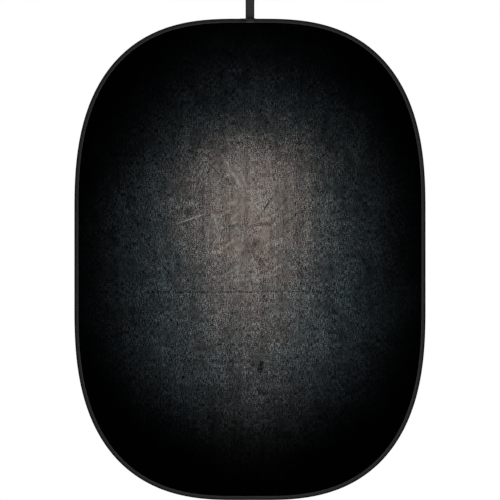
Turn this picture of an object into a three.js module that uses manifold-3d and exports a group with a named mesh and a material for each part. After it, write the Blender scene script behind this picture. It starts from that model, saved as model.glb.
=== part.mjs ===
// A tall collapsible photo backdrop with a spring-steel rim, hung from a webbing loop.
//
// Millimetres, +Z up. The origin is the inside top of the hanging loop, where a hook bears.
// The printed face looks along -Y. The cloth folds about vertical lines, so the cloth, the
// binding tape and the steel band are each cut into seven upright slices.
import * as THREE from "three";
import { mergeVertices } from "three/addons/utils/BufferGeometryUtils.js";
import Module from "manifold-3d";

const wasm = await Module();
wasm.setup();

// Driving dimensions of the panel
const PANEL_HEIGHT = 2100;
const PANEL_WIDTH = 1532;
const CORNER_WIDTH = 711;
const CORNER_HEIGHT = 847;
const CORNER_POWER = 2.59; // 2 would be an ellipse; more is squarer
const RIM_STEPS = 112; // straight chords round the whole rim

// Cloth and binding tape
const CLOTH_THICKNESS = 0.6;
const CLOTH_SPACING = 0.8; // between the front and the rear cloth
const CLOTH_INSET = 8; // cloth edge, inside the binding's fold
const TAPE_THICKNESS = 0.8;
const TAPE_WIDTH = 20; // as seen on each face
const FLANGE_HALF = 2.2; // half thickness of the rim where it is sewn to the cloth
const HEM_HALF = 6; // half thickness of the rim round the steel band
const HEM_CHAMFER = 1.2;
const HEM_DEPTH = 5.8; // where the tape starts to slope down to the cloth
const FLANGE_START = 12; // where the slope ends
const GAP = 0.3; // between pieces that touch

// Spring-steel band and its splice
const BAND_THICKNESS = 1.2;
const BAND_WIDTH = 8;
const BAND_INSET = 3.2; // middle of the band, from the rim's edge
const BAND_END_GAP = 1;
const SLEEVE_LENGTH = 44;
const SLEEVE_WALL = 0.6;
const RIVET_SPACING = 22;
const RIVET_RADIUS = 1.5;
const RIVET_HEAD_RADIUS = 2.6;
const RIVET_HEAD_THICKNESS = 0.3;

// Folding: hinge lines in the panel's middle plane
const FOLD_LINES = [65, 195, 325];
const FOLD_CLEARANCE = 2.3; // each side of a fold line

// Hanging strap
const STRAP_WIDTH = 38;
const STRAP_THICKNESS = 1.5;
const STRAP_LENGTH = 200; // from the rim to the inside top of the loop
const LOOP_RADIUS = 18;
const LOOP_TAPER = THREE.MathUtils.degToRad(12);
const STRAP_HINGE_RISE = 3.6; // bend line above the rim
const STRAP_CLEARANCE = 1.8; // each side of the bend line
const TAIL_LENGTH = 19; // sewn down over the binding
const LAP_LEFT = 41.5; // the binding's end laps over its start
const LAP_RIGHT = 26;

// Blank care label
const LABEL_WIDTH = 38;
const LABEL_HEIGHT = 26;
const LABEL_THICKNESS = 0.4;
const LABEL_DROP = 150; // below the panel's middle

// Worked out from the above
const HALF_WIDTH = PANEL_WIDTH / 2;
const HALF_HEIGHT = PANEL_HEIGHT / 2;
const STRAP_HALF = STRAP_THICKNESS + GAP / 2;
const LAP_OUTSIDE = GAP + TAPE_THICKNESS;
const PANEL_Y = -(HEM_HALF + LAP_OUTSIDE + GAP + STRAP_HALF);
const PANEL_Z = -(STRAP_LENGTH + HALF_HEIGHT);
const CLOTH_INNER_FACE = CLOTH_SPACING / 2;

const printedCloth = { color: 0x4a4b4b, roughness: 0.92, metalness: 0 };
const liningCloth = { color: 0x161618, roughness: 0.95, metalness: 0 };
const bindingTape = { color: 0x1d1c1d, roughness: 0.85, metalness: 0 };
const webbing = { color: 0x262627, roughness: 0.8, metalness: 0 };
const springSteel = { color: 0x8d9196, roughness: 0.35, metalness: 1 };
const labelSatin = { color: 0xd9d8d4, roughness: 0.7, metalness: 0 };

// The rim's outer edge, clockwise from its top middle, seen from the front. Each quarter is half
// a straight top, a superellipse corner and half a straight side.
class RimCurve extends THREE.Curve {
  constructor() {
    super();
    this.arcLengthDivisions = 2400;
  }

  getPoint(t, target = new THREE.Vector3()) {
    const turn = (((t % 1) + 1) % 1) * 4;
    const quarter = Math.min(Math.floor(turn), 3);
    const along = turn - quarter;
    const fromTop = quarter % 2 === 0 ? along : 1 - along;
    const [x, y] = quarterPoint(fromTop);
    const right = quarter < 2 ? 1 : -1;
    const up = quarter === 0 || quarter === 3 ? 1 : -1;
    return target.set(right * x, up * y, 0);
  }
}

// A point of the upper right quarter: s is 0 at the top middle and 1 at the right middle.
function quarterPoint(s) {
  const flatTop = HALF_WIDTH - CORNER_WIDTH;
  const flatSide = HALF_HEIGHT - CORNER_HEIGHT;
  const cornerStart = 0.04;
  const cornerEnd = 0.86;
  if (s < cornerStart) return [(flatTop * s) / cornerStart, HALF_HEIGHT];
  if (s > cornerEnd) return [HALF_WIDTH, (flatSide * (1 - s)) / (1 - cornerEnd)];
  const angle = ((s - cornerStart) / (cornerEnd - cornerStart)) * (Math.PI / 2);
  const across = Math.sin(angle);
  const upward = Math.cos(angle);
  const reach =
    ((across / CORNER_WIDTH) ** CORNER_POWER + (upward / CORNER_HEIGHT) ** CORNER_POWER) **
    (-1 / CORNER_POWER);
  return [flatTop + reach * across, flatSide + reach * upward];
}

const rim = new RimCurve();

// A stretch of the rim between two of its steps, so that every swept piece has the same chords.
class RimSpan extends THREE.Curve {
  constructor(firstStep, lastStep) {
    super();
    this.firstStep = firstStep;
    this.steps = lastStep - firstStep;
  }

  turn(t) {
    const turn = (this.firstStep + t * this.steps) / RIM_STEPS;
    return turn - Math.floor(turn);
  }

  getPoint(t, target = new THREE.Vector3()) {
    return rim.getPointAt(this.turn(t), target);
  }

  getUtoTmapping(u) {
    return u;
  }

  getTangentAt(u, target = new THREE.Vector3()) {
    return rim.getTangentAt(this.turn(u), target);
  }
}

// The rim's edge moved inwards, as points for a flat shape.
function insetOutline(inset) {
  const points = [];
  for (let step = 0; step < RIM_STEPS; step += 1) {
    const turn = step / RIM_STEPS;
    const point = rim.getPointAt(turn);
    const tangent = rim.getTangentAt(turn);
    points.push(new THREE.Vector2(point.x + tangent.y * inset, point.y - tangent.x * inset));
  }
  return points;
}

// Half of the folded tape's outline, from its sewn edge to the rim's outer edge, moved outwards.
function hemContour(offset) {
  const slope = Math.atan2(HEM_HALF - FLANGE_HALF, FLANGE_START - HEM_DEPTH);
  const slopeShift = offset * Math.tan(slope / 2);
  const chamferShift = offset * Math.tan(Math.PI / 8);
  return [
    [FLANGE_HALF + offset, TAPE_WIDTH],
    [FLANGE_HALF + offset, FLANGE_START + slopeShift],
    [HEM_HALF + offset, HEM_DEPTH + slopeShift],
    [HEM_HALF + offset, HEM_CHAMFER - chamferShift],
    [HEM_HALF - HEM_CHAMFER + chamferShift, -offset],
  ];
}

// The folded tape's cross-section between two offsets: across the panel, then outwards.
function hemShape(outerOffset, innerOffset) {
  const outer = hemContour(outerOffset);
  const inner = hemContour(innerOffset);
  const loop = [
    ...outer,
    ...outer.map(([half, inset]) => [-half, inset]).reverse(),
    ...inner.map(([half, inset]) => [-half, inset]),
    ...inner.reverse(),
  ];
  return new THREE.Shape(loop.map(([half, inset]) => new THREE.Vector2(half, -inset)));
}

function bandShape() {
  const outer = -BAND_INSET + BAND_THICKNESS / 2;
  const inner = -BAND_INSET - BAND_THICKNESS / 2;
  return new THREE.Shape([
    new THREE.Vector2(-BAND_WIDTH / 2, inner),
    new THREE.Vector2(BAND_WIDTH / 2, inner),
    new THREE.Vector2(BAND_WIDTH / 2, outer),
    new THREE.Vector2(-BAND_WIDTH / 2, outer),
  ]);
}

function solid(geometry) {
  const bare = geometry.clone();
  bare.deleteAttribute("normal");
  bare.deleteAttribute("uv");
  const merged = mergeVertices(bare, 1e-4);
  return new wasm.Manifold(
    new wasm.Mesh({
      numProp: 3,
      vertProperties: merged.attributes.position.array,
      triVerts: new Uint32Array(merged.index.array),
    }),
  );
}

function geometryOf(manifold) {
  const { vertProperties, triVerts } = manifold.getMesh();
  const geometry = new THREE.BufferGeometry();
  geometry.setAttribute("position", new THREE.BufferAttribute(vertProperties, 3));
  geometry.setIndex(new THREE.BufferAttribute(triVerts, 1));
  return geometry;
}

function boxBetween([x0, x1], [y0, y1], [z0, z1]) {
  const box = new THREE.BoxGeometry(x1 - x0, y1 - y0, z1 - z0);
  return box.translate((x0 + x1) / 2, (y0 + y1) / 2, (z0 + z1) / 2);
}

function piece(name, geometry, finish) {
  const mesh = new THREE.Mesh(geometry, new THREE.MeshStandardMaterial(finish));
  mesh.name = name;
  return mesh;
}

// The seven slices, left to right, as the space each one keeps between its fold lines.
function panelSlices() {
  const edge = HALF_WIDTH + LAP_OUTSIDE;
  const lines = [...FOLD_LINES].reverse().map((x) => -x);
  const limits = [-edge, ...lines, ...FOLD_LINES, edge];
  const names = [
    "left_outer",
    "left_middle",
    "left_inner",
    "centre",
    "right_inner",
    "right_middle",
    "right_outer",
  ];
  return names.map((name, i) => ({
    name,
    across: [
      limits[i] + (i === 0 ? 0 : FOLD_CLEARANCE),
      limits[i + 1] - (i === names.length - 1 ? 0 : FOLD_CLEARANCE),
    ],
    side: i === 0 || i === names.length - 1,
  }));
}

const slices = panelSlices();
const WIDE = [-2 * HALF_WIDTH, 2 * HALF_WIDTH];
const TALL = [-2 * HALF_HEIGHT, 2 * HALF_HEIGHT];
const DEEP = [-50, 50];
const UPPER = [0, TALL[1]];
const LOWER = [TALL[0], 0];

function cut(manifold, across, upright) {
  return geometryOf(manifold.intersect(solid(boxBetween(across, upright, DEEP))));
}

function clothPieces(group) {
  const outline = new THREE.Shape(insetOutline(CLOTH_INSET));
  const sheet = new THREE.ExtrudeGeometry(outline, {
    depth: CLOTH_THICKNESS,
    bevelEnabled: false,
    curveSegments: 1,
  });
  const front = solid(sheet.clone().translate(0, 0, CLOTH_INNER_FACE));
  const rear = solid(sheet.clone().translate(0, 0, -CLOTH_INNER_FACE - CLOTH_THICKNESS));
  for (const slice of slices) {
    group.add(piece(`front_cloth_${slice.name}`, cut(front, slice.across, TALL), printedCloth));
    group.add(piece(`rear_cloth_${slice.name}`, cut(rear, slice.across, TALL), liningCloth));
  }
}

// Sweeps a cross-section round the upper part, the lower part and both sides of the rim.
function rimSweeps(shape) {
  const quarter = RIM_STEPS / 4;
  const sweep = (first, last) => {
    const settings = { steps: last - first, extrudePath: new RimSpan(first, last) };
    return solid(new THREE.ExtrudeGeometry(shape, settings));
  };
  return {
    top: sweep(-quarter + 2, quarter - 2),
    bottom: sweep(quarter + 2, 3 * quarter - 2),
    right: sweep(2, 2 * quarter - 2),
    left: sweep(2 * quarter + 2, 4 * quarter - 2),
  };
}

function bindingPieces(group) {
  const sweeps = rimSweeps(hemShape(0, -TAPE_THICKNESS));
  for (const { name, across, side } of slices) {
    if (side) {
      const half = name.startsWith("left") ? sweeps.left : sweeps.right;
      group.add(piece(`binding_${name}`, cut(half, across, TALL), bindingTape));
    } else {
      group.add(piece(`binding_top_${name}`, cut(sweeps.top, across, UPPER), bindingTape));
      group.add(piece(`binding_bottom_${name}`, cut(sweeps.bottom, across, LOWER), bindingTape));
    }
  }
}

// The steel band runs inside the fold of the tape and is spliced at the bottom middle.
function bandPieces(group) {
  const sweeps = rimSweeps(bandShape());
  for (const { name, across, side } of slices) {
    if (side) {
      const half = name.startsWith("left") ? sweeps.left : sweeps.right;
      group.add(piece(`spring_band_${name}`, cut(half, across, TALL), springSteel));
      continue;
    }
    group.add(piece(`spring_band_top_${name}`, cut(sweeps.top, across, UPPER), springSteel));
    if (name !== "centre") {
      const lower = cut(sweeps.bottom, across, LOWER);
      group.add(piece(`spring_band_bottom_${name}`, lower, springSteel));
      continue;
    }
    const drilled = sweeps.bottom.subtract(rivetHole(-1)).subtract(rivetHole(1));
    const leftEnd = cut(drilled, [across[0], -BAND_END_GAP / 2], LOWER);
    const rightEnd = cut(drilled, [BAND_END_GAP / 2, across[1]], LOWER);
    group.add(piece("spring_band_bottom_left_end", leftEnd, springSteel));
    group.add(piece("spring_band_bottom_right_end", rightEnd, springSteel));
  }
}

const SPLICE_Y = -HALF_HEIGHT + BAND_INSET;
const SLEEVE_HALF = BAND_THICKNESS / 2 + GAP + SLEEVE_WALL;

function rivetHole(side) {
  const hole = new THREE.CylinderGeometry(RIVET_RADIUS + GAP, RIVET_RADIUS + GAP, 20, 16);
  return solid(hole.translate((side * RIVET_SPACING) / 2, SPLICE_Y, 0));
}

function spliceSleeve(group) {
  const bore = BAND_THICKNESS / 2 + GAP;
  const boreWidth = BAND_WIDTH / 2 + GAP;
  const width = boreWidth + SLEEVE_WALL;
  const half = SLEEVE_LENGTH / 2;
  const block = solid(boxBetween([-half, half], [-SLEEVE_HALF, SLEEVE_HALF], [-width, width]));
  const hollow = boxBetween([-half - 1, half + 1], [-bore, bore], [-boreWidth, boreWidth]);
  const sleeve = block
    .subtract(solid(hollow))
    .translate([0, SPLICE_Y, 0])
    .subtract(rivetHole(-1))
    .subtract(rivetHole(1));
  group.add(piece("splice_sleeve", geometryOf(sleeve), springSteel));
}

function spliceRivets(group) {
  const seat = SLEEVE_HALF + GAP;
  const head = seat + RIVET_HEAD_THICKNESS;
  const profile = [
    [0, -head],
    [RIVET_HEAD_RADIUS, -head],
    [RIVET_HEAD_RADIUS, -seat],
    [RIVET_RADIUS, -seat],
    [RIVET_RADIUS, seat],
    [RIVET_HEAD_RADIUS, seat],
    [RIVET_HEAD_RADIUS, head],
    [0, head],
  ].map(([radius, height]) => new THREE.Vector2(radius, height));
  for (const [name, side] of [["left", -1], ["right", 1]]) {
    const rivet = piece(`splice_rivet_${name}`, new THREE.LatheGeometry(profile, 16), springSteel);
    rivet.position.set((side * RIVET_SPACING) / 2, SPLICE_Y, 0);
    group.add(rivet);
  }
}

// The end of the binding tape laps over its start, in front of the strap.
function bindingLap(group) {
  const path = new THREE.LineCurve3(
    new THREE.Vector3(-LAP_LEFT, HALF_HEIGHT, 0),
    new THREE.Vector3(LAP_RIGHT, HALF_HEIGHT, 0),
  );
  const shape = hemShape(LAP_OUTSIDE, GAP);
  const lap = new THREE.ExtrudeGeometry(shape, { steps: 1, extrudePath: path });
  group.add(piece("binding_lap", lap, bindingTape));
}

function careLabel(group) {
  const right = HALF_WIDTH - TAPE_WIDTH - GAP;
  const front = -(CLOTH_INNER_FACE + CLOTH_THICKNESS + GAP);
  const label = boxBetween(
    [right - LABEL_WIDTH, right],
    [-LABEL_DROP - LABEL_HEIGHT, -LABEL_DROP],
    [front - LABEL_THICKNESS, front],
  );
  group.add(piece("care_label", label, labelSatin));
}

// A shape drawn as (Y, Z) and extruded along X, the strap's width.
function acrossStrap(name, shape) {
  const webbingStrip = new THREE.ExtrudeGeometry(shape, {
    depth: STRAP_WIDTH,
    bevelEnabled: false,
    curveSegments: 20,
  });
  webbingStrip.translate(0, 0, -STRAP_WIDTH / 2);
  const strip = piece(name, webbingStrip, webbing);
  const yzx = new THREE.Matrix4().makeBasis(
    new THREE.Vector3(0, 1, 0),
    new THREE.Vector3(0, 0, 1),
    new THREE.Vector3(1, 0, 0),
  );
  strip.quaternion.setFromRotationMatrix(yzx);
  return strip;
}

// One strip of webbing, up from the bend line, round the hook and down again.
function hangLoop() {
  const centreZ = -LOOP_RADIUS;
  const bottom = -STRAP_LENGTH + STRAP_HINGE_RISE + STRAP_CLEARANCE;
  const outerRadius = LOOP_RADIUS + STRAP_THICKNESS;
  const outerY = STRAP_HALF;
  const innerY = GAP / 2;
  const meets = (y, radius) =>
    (y * Math.cos(LOOP_TAPER) - radius) / Math.sin(LOOP_TAPER) + centreZ;
  const from = -LOOP_TAPER;
  const to = Math.PI + LOOP_TAPER;
  const shape = new THREE.Shape();
  shape.moveTo(outerY, bottom);
  shape.lineTo(outerY, meets(outerY, outerRadius));
  shape.absarc(0, centreZ, outerRadius, from, to, false);
  shape.lineTo(-outerY, meets(outerY, outerRadius));
  shape.lineTo(-outerY, bottom);
  shape.lineTo(-innerY, bottom);
  shape.lineTo(-innerY, meets(innerY, LOOP_RADIUS));
  shape.absarc(0, centreZ, LOOP_RADIUS, to, from, true);
  shape.lineTo(innerY, meets(innerY, LOOP_RADIUS));
  shape.lineTo(innerY, bottom);
  return acrossStrap("hang_loop", shape);
}

// The strap's two ends, one on the other, stepping down from the rim's roll to its sewn flange.
function strapTail(name, frontY) {
  const rimTop = -STRAP_LENGTH;
  const top = rimTop + STRAP_HINGE_RISE - STRAP_CLEARANCE;
  const step = HEM_HALF - FLANGE_HALF;
  const backY = frontY + STRAP_THICKNESS;
  const shape = new THREE.Shape([
    new THREE.Vector2(frontY, top),
    new THREE.Vector2(frontY, rimTop - HEM_DEPTH),
    new THREE.Vector2(frontY - step, rimTop - FLANGE_START),
    new THREE.Vector2(frontY - step, rimTop - TAIL_LENGTH),
    new THREE.Vector2(backY - step, rimTop - TAIL_LENGTH),
    new THREE.Vector2(backY - step, rimTop - FLANGE_START),
    new THREE.Vector2(backY, rimTop - HEM_DEPTH),
    new THREE.Vector2(backY, top),
  ]);
  return acrossStrap(name, shape);
}

// The panel's own frame: x to the right, y up, z out of the printed face.
function panel() {
  const group = new THREE.Group();
  group.position.set(0, PANEL_Y, PANEL_Z);
  group.rotation.x = Math.PI / 2;
  clothPieces(group);
  bindingPieces(group);
  bandPieces(group);
  spliceSleeve(group);
  spliceRivets(group);
  bindingLap(group);
  careLabel(group);
  return group;
}

const backdrop = new THREE.Group();
backdrop.add(panel());
backdrop.add(hangLoop());
backdrop.add(strapTail("strap_tail_front", -STRAP_HALF));
backdrop.add(strapTail("strap_tail_rear", GAP / 2));

export default backdrop;
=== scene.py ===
"""Visual model of a tall collapsible studio backdrop that hangs from a webbing loop.

All lengths are metres in the part's own frame: +Z is up, the printed face looks along -Y, and
the origin is the inside top of the hanging loop. The sewn panel bends about upright lines, so
every layer of it is made in six upright strips.
"""

import logging
import math
from dataclasses import dataclass, field
from enum import Enum
from typing import Callable

import bpy
import numpy as np
from mathutils.kdtree import KDTree
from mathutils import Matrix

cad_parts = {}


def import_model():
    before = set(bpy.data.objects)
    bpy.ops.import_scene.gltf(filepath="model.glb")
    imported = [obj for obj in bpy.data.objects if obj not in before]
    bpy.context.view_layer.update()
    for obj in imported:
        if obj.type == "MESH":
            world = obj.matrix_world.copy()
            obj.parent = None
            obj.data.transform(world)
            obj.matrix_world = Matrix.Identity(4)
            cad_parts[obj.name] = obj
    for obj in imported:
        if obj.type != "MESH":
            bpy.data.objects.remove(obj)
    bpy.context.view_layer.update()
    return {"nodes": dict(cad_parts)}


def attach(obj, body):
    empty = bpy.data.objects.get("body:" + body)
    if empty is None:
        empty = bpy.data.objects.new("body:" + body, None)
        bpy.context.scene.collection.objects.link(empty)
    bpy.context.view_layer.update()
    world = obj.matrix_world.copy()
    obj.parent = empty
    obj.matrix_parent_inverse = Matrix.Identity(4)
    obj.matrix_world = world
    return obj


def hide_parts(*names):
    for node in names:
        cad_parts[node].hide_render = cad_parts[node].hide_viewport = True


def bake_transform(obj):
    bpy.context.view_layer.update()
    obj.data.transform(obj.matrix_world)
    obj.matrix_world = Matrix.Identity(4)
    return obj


LOG = logging.getLogger("backdrop")
MM = 0.001
MAP_NAME = "flat_m"

Piece = bpy.types.Object
Material = bpy.types.Material
Socket = bpy.types.NodeSocket
Pair = tuple[float, float]
Triple = tuple[float, float, float]
Source = Socket | float | tuple[float, ...]


# ---------------------------------------------------------------- named choices


class Side(Enum):
    """Which side of the upright centre line, seen from the front."""

    LEFT = -1
    RIGHT = 1

    @property
    def word(self) -> str:
        """The side's name in body and node names."""
        return self.name.lower()


class Face(Enum):
    """Which way a surface of the panel looks."""

    FRONT = 1
    REAR = -1


class Place(Enum):
    """Where a strip lies between the centre line and the panel's side."""

    INNER = 0
    MIDDLE = 1
    OUTER = 2

    @property
    def word(self) -> str:
        """The place's name in body and node names."""
        return self.name.lower()


class PatternSpace(Enum):
    """What a finish takes its pattern's place from."""

    FLAT_MAP = "the piece's own map, in metres"
    OBJECT = "the piece's own coordinates"


# ---------------------------------------------------------------- the panel's shape


def lengths_along(points: np.ndarray) -> np.ndarray:
    """The distance along a line of points at each of them, from 0 at the first."""
    steps = np.linalg.norm(np.diff(points, axis=0), axis=1)
    return np.concatenate([[0], np.cumsum(steps)])


def area_under(heights: np.ndarray, places: np.ndarray) -> float:
    """The area under a line of points."""
    return float((np.diff(places) * (heights[1:] + heights[:-1]) / 2).sum())


def smooth(share: np.ndarray) -> np.ndarray:
    """Smooth step from 0 to 1 as share goes from 0 to 1."""
    clipped = np.clip(share, 0, 1)
    return clipped * clipped * (3 - 2 * clipped)


@dataclass(frozen=True)
class PanelOutline:
    """The outer edge of the sewn rim: straight top, superellipse corners, straight sides."""

    half_width: float = 0.766
    half_height: float = 1.050
    corner_width: float = 0.711
    corner_height: float = 0.847
    corner_power: float = 2.59
    middle_y: float = -0.00905
    middle_z: float = -1.250
    samples: int = 6000
    straight_samples: int = 60

    def quarter(self) -> np.ndarray:
        """The upper right quarter, from the top middle to the right middle.

        Returns:
            Points (x, height) on the panel's own plane.
        """
        flat_top = self.half_width - self.corner_width
        flat_side = self.half_height - self.corner_height
        angle = np.linspace(0, math.pi / 2, self.samples)
        across, upward = np.sin(angle), np.cos(angle)
        power = self.corner_power
        reach = (
            (across / self.corner_width) ** power + (upward / self.corner_height) ** power
        ) ** (-1 / power)
        corner = np.stack([flat_top + reach * across, flat_side + reach * upward], 1)
        count = self.straight_samples
        top_x, side_height = np.linspace(0, flat_top, count), np.linspace(flat_side, 0, count)
        top = np.stack([top_x[:-1], np.full(count - 1, self.half_height)], 1)
        side = np.stack([np.full(count - 1, self.half_width), side_height[1:]], 1)
        return np.concatenate([top, corner, side])

    def whole(self) -> tuple[np.ndarray, np.ndarray]:
        """The whole edge, clockwise from the top middle as seen from the front.

        Returns:
            Points (x, height), closed, and the distance along the edge at each.
        """
        first = self.quarter()
        second = (first * [1, -1])[::-1][1:]
        right = np.concatenate([first, second])
        left = (right * [-1, 1])[::-1][1:]
        points = np.concatenate([right, left])
        return points, lengths_along(points)

    def at(self, along: np.ndarray) -> tuple[np.ndarray, np.ndarray, np.ndarray]:
        """Points, tangents and outward normals at distances along the edge.

        Args:
            along: distances from the top middle, clockwise, in metres.

        Returns:
            Three arrays of (x, height) pairs.
        """
        points, length = self.whole()
        total = length[-1]

        def place(distance: np.ndarray) -> np.ndarray:
            """The points at distances along the edge, which may run past its end."""
            wrapped = np.mod(distance, total)
            return np.stack([np.interp(wrapped, length, points[:, k]) for k in (0, 1)], 1)

        reach = 0.004
        tangent = place(along + reach) - place(along - reach)
        tangent /= np.linalg.norm(tangent, axis=1)[:, None]
        normal = np.stack([-tangent[:, 1], tangent[:, 0]], 1)
        return place(along), tangent, normal

    def perimeter(self) -> float:
        """The length of the whole edge."""
        return float(self.whole()[1][-1])

    def along_top(self, x: float) -> float:
        """The distance along the edge to the point of the upper edge at x, for x >= 0."""
        points, length = self.whole()
        quarter = len(self.quarter())
        return float(np.interp(x, points[:quarter, 0], length[:quarter]))

    def half_height_at(self, x: np.ndarray, inset: float) -> np.ndarray:
        """Half the height at x of the edge moved inwards by inset."""
        inner = self.inset_quarter(inset)
        return np.interp(np.abs(x), inner[:, 0], inner[:, 1])

    def half_width_at(self, height: np.ndarray, inset: float) -> np.ndarray:
        """Half the width at a height of the edge moved inwards by inset."""
        inner = self.inset_quarter(inset)[self.straight_samples :][::-1]
        return np.interp(np.abs(height), inner[:, 1], inner[:, 0])

    def inset_quarter(self, inset: float) -> np.ndarray:
        """The upper right quarter moved inwards."""
        points = self.quarter()
        tangent = np.gradient(points, axis=0)
        tangent /= np.linalg.norm(tangent, axis=1)[:, None]
        moved = points + np.stack([tangent[:, 1], -tangent[:, 0]], 1) * inset
        moved[:, 0] = np.maximum.accumulate(moved[:, 0])
        return moved

    def world(self, flat: np.ndarray, out: np.ndarray) -> np.ndarray:
        """Puts points of the panel in the part's frame.

        Args:
            flat: (x, height) pairs on the panel's plane.
            out: how far each stands out in front of the middle plane.

        Returns:
            Points (x, y, z).
        """
        return np.stack([flat[:, 0], self.middle_y - out, self.middle_z + flat[:, 1]], 1)


@dataclass(frozen=True)
class ClothRelief:
    """How the stretched cloths and the folded tape depart from their plain shape."""

    sway: float = 2.3 * MM
    pucker: float = 1.5 * MM
    pucker_reach: float = 38 * MM
    tape_edge: float = 17.4 * MM
    wrinkle: float = 0.224 * MM
    waves: tuple[tuple[float, float, float, float], ...] = (
        (0.42, 3.1, 1.3, 0.4),
        (0.27, -2.2, 4.4, 1.9),
        (0.17, 8.7, -3.6, 4.1),
        (0.10, 11.9, 9.4, 2.6),
        (0.05, -19.0, 14.0, 0.9),
    )
    sway_starts: float = 22 * MM
    sway_grows: float = 240 * MM
    pucker_starts: float = 12 * MM
    tension_pitch: float = 1.46

    def shared_sway(self, x: np.ndarray, height: np.ndarray, depth: np.ndarray) -> np.ndarray:
        """Long shallow waves that both cloths share.

        Args:
            x: place across the panel.
            height: place up the panel from its middle.
            depth: distance inside the rim's edge.
        """
        total = sum(a * np.sin(kx * x + kz * height + phase) for a, kx, kz, phase in self.waves)
        return self.sway * total * smooth((depth - self.sway_starts) / self.sway_grows)

    def puckers(self, along: np.ndarray, depth: np.ndarray, face: Face) -> np.ndarray:
        """Small outward gathers that start at the seam and die out in the cloth."""
        shift = 0.7 if face is Face.FRONT else 3.9
        ripple = 0.5 + 0.5 * np.sin(along * 171 + 2.3 * np.sin(along * 23 + shift) + shift)
        gate = 0.35 + 0.65 * np.sin(along * 9.7 + 1.4 * np.sin(along * 4.1) + shift) ** 2
        inward = np.maximum(depth - self.tape_edge, 0)
        fade = smooth(inward / self.pucker_starts) * np.exp(-inward / self.pucker_reach)
        tension = 0.35 + 0.65 * np.sin(along * 2 * math.pi / self.tension_pitch + 0.8) ** 2
        return self.pucker * ripple * gate * fade * tension

    def tape_wrinkles(self, along: np.ndarray, inset: np.ndarray, face: Face) -> np.ndarray:
        """Cross wrinkles of the tape, strongest towards its sewn inner edge."""
        turn = 0.4 if face is Face.FRONT else 2.9
        calm = smooth((np.abs(np.mod(along + 3, 6) - 3) - 0.055) / 0.05)
        ripple = np.sin(along * 640 + 2 * np.sin(along * 57 + turn) + turn)
        slow = np.sin(along * 211 + 1.7 * np.sin(along * 31 - turn))
        share = 0.2 + 0.8 * np.clip(inset / self.tape_edge, 0, 1)
        return self.wrinkle * calm * share * (0.6 * ripple + 0.4 * slow)


@dataclass(frozen=True)
class FoldStrip:
    """One upright strip of the panel, which bends about one of its fold lines."""

    side: Side
    place: Place
    lines: tuple[float, ...] = (0.0, 0.130, 0.260, 0.390)
    beyond: float = 0.8
    turn_half: float = 0.041
    hinge_y: float = PanelOutline.middle_y

    @property
    def name(self) -> str:
        """The strip's name, as used in its pieces' names."""
        return f"{self.side.word}_{self.place.word}"

    @property
    def span(self) -> Pair:
        """Nearest and furthest distance from the centre line."""
        low, high = self.lines[self.place.value : self.place.value + 2]
        return low, (self.beyond if self.place is Place.OUTER else high)

    @property
    def bodies(self) -> tuple[str, str]:
        """The body nearer the centre line and the one beyond the fold line."""
        chain = ["panel_centre"] + [f"panel_{self.side.word}_{p.word}" for p in Place]
        return chain[self.place.value], chain[self.place.value + 1]

    @property
    def slices(self) -> tuple[str, ...]:
        """The slices of the CAD model that the strip stands for, each in one strip only."""
        if self.side is Side.LEFT:
            return (f"left_{self.place.word}",)
        return {
            Place.INNER: ("centre",),
            Place.MIDDLE: ("right_inner",),
            Place.OUTER: ("right_middle", "right_outer"),
        }[self.place]

    def bend(self, piece: Piece) -> None:
        """Works out the strip's hinge and bodies, and bakes a finished piece's transform into its
        mesh; the piece is not bent.
        """
        hinge = sum(self.lines[self.place.value : self.place.value + 2]) / 2
        start, end = (
            (self.side.value * (hinge + reach), self.hinge_y, 0)
            for reach in (-self.turn_half, self.turn_half)
        )
        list(self.bodies)
        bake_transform(piece)
        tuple(start)
        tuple(end)


STRIPS = tuple(FoldStrip(side, place) for side in Side for place in Place)


# ---------------------------------------------------------------- making meshes


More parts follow.
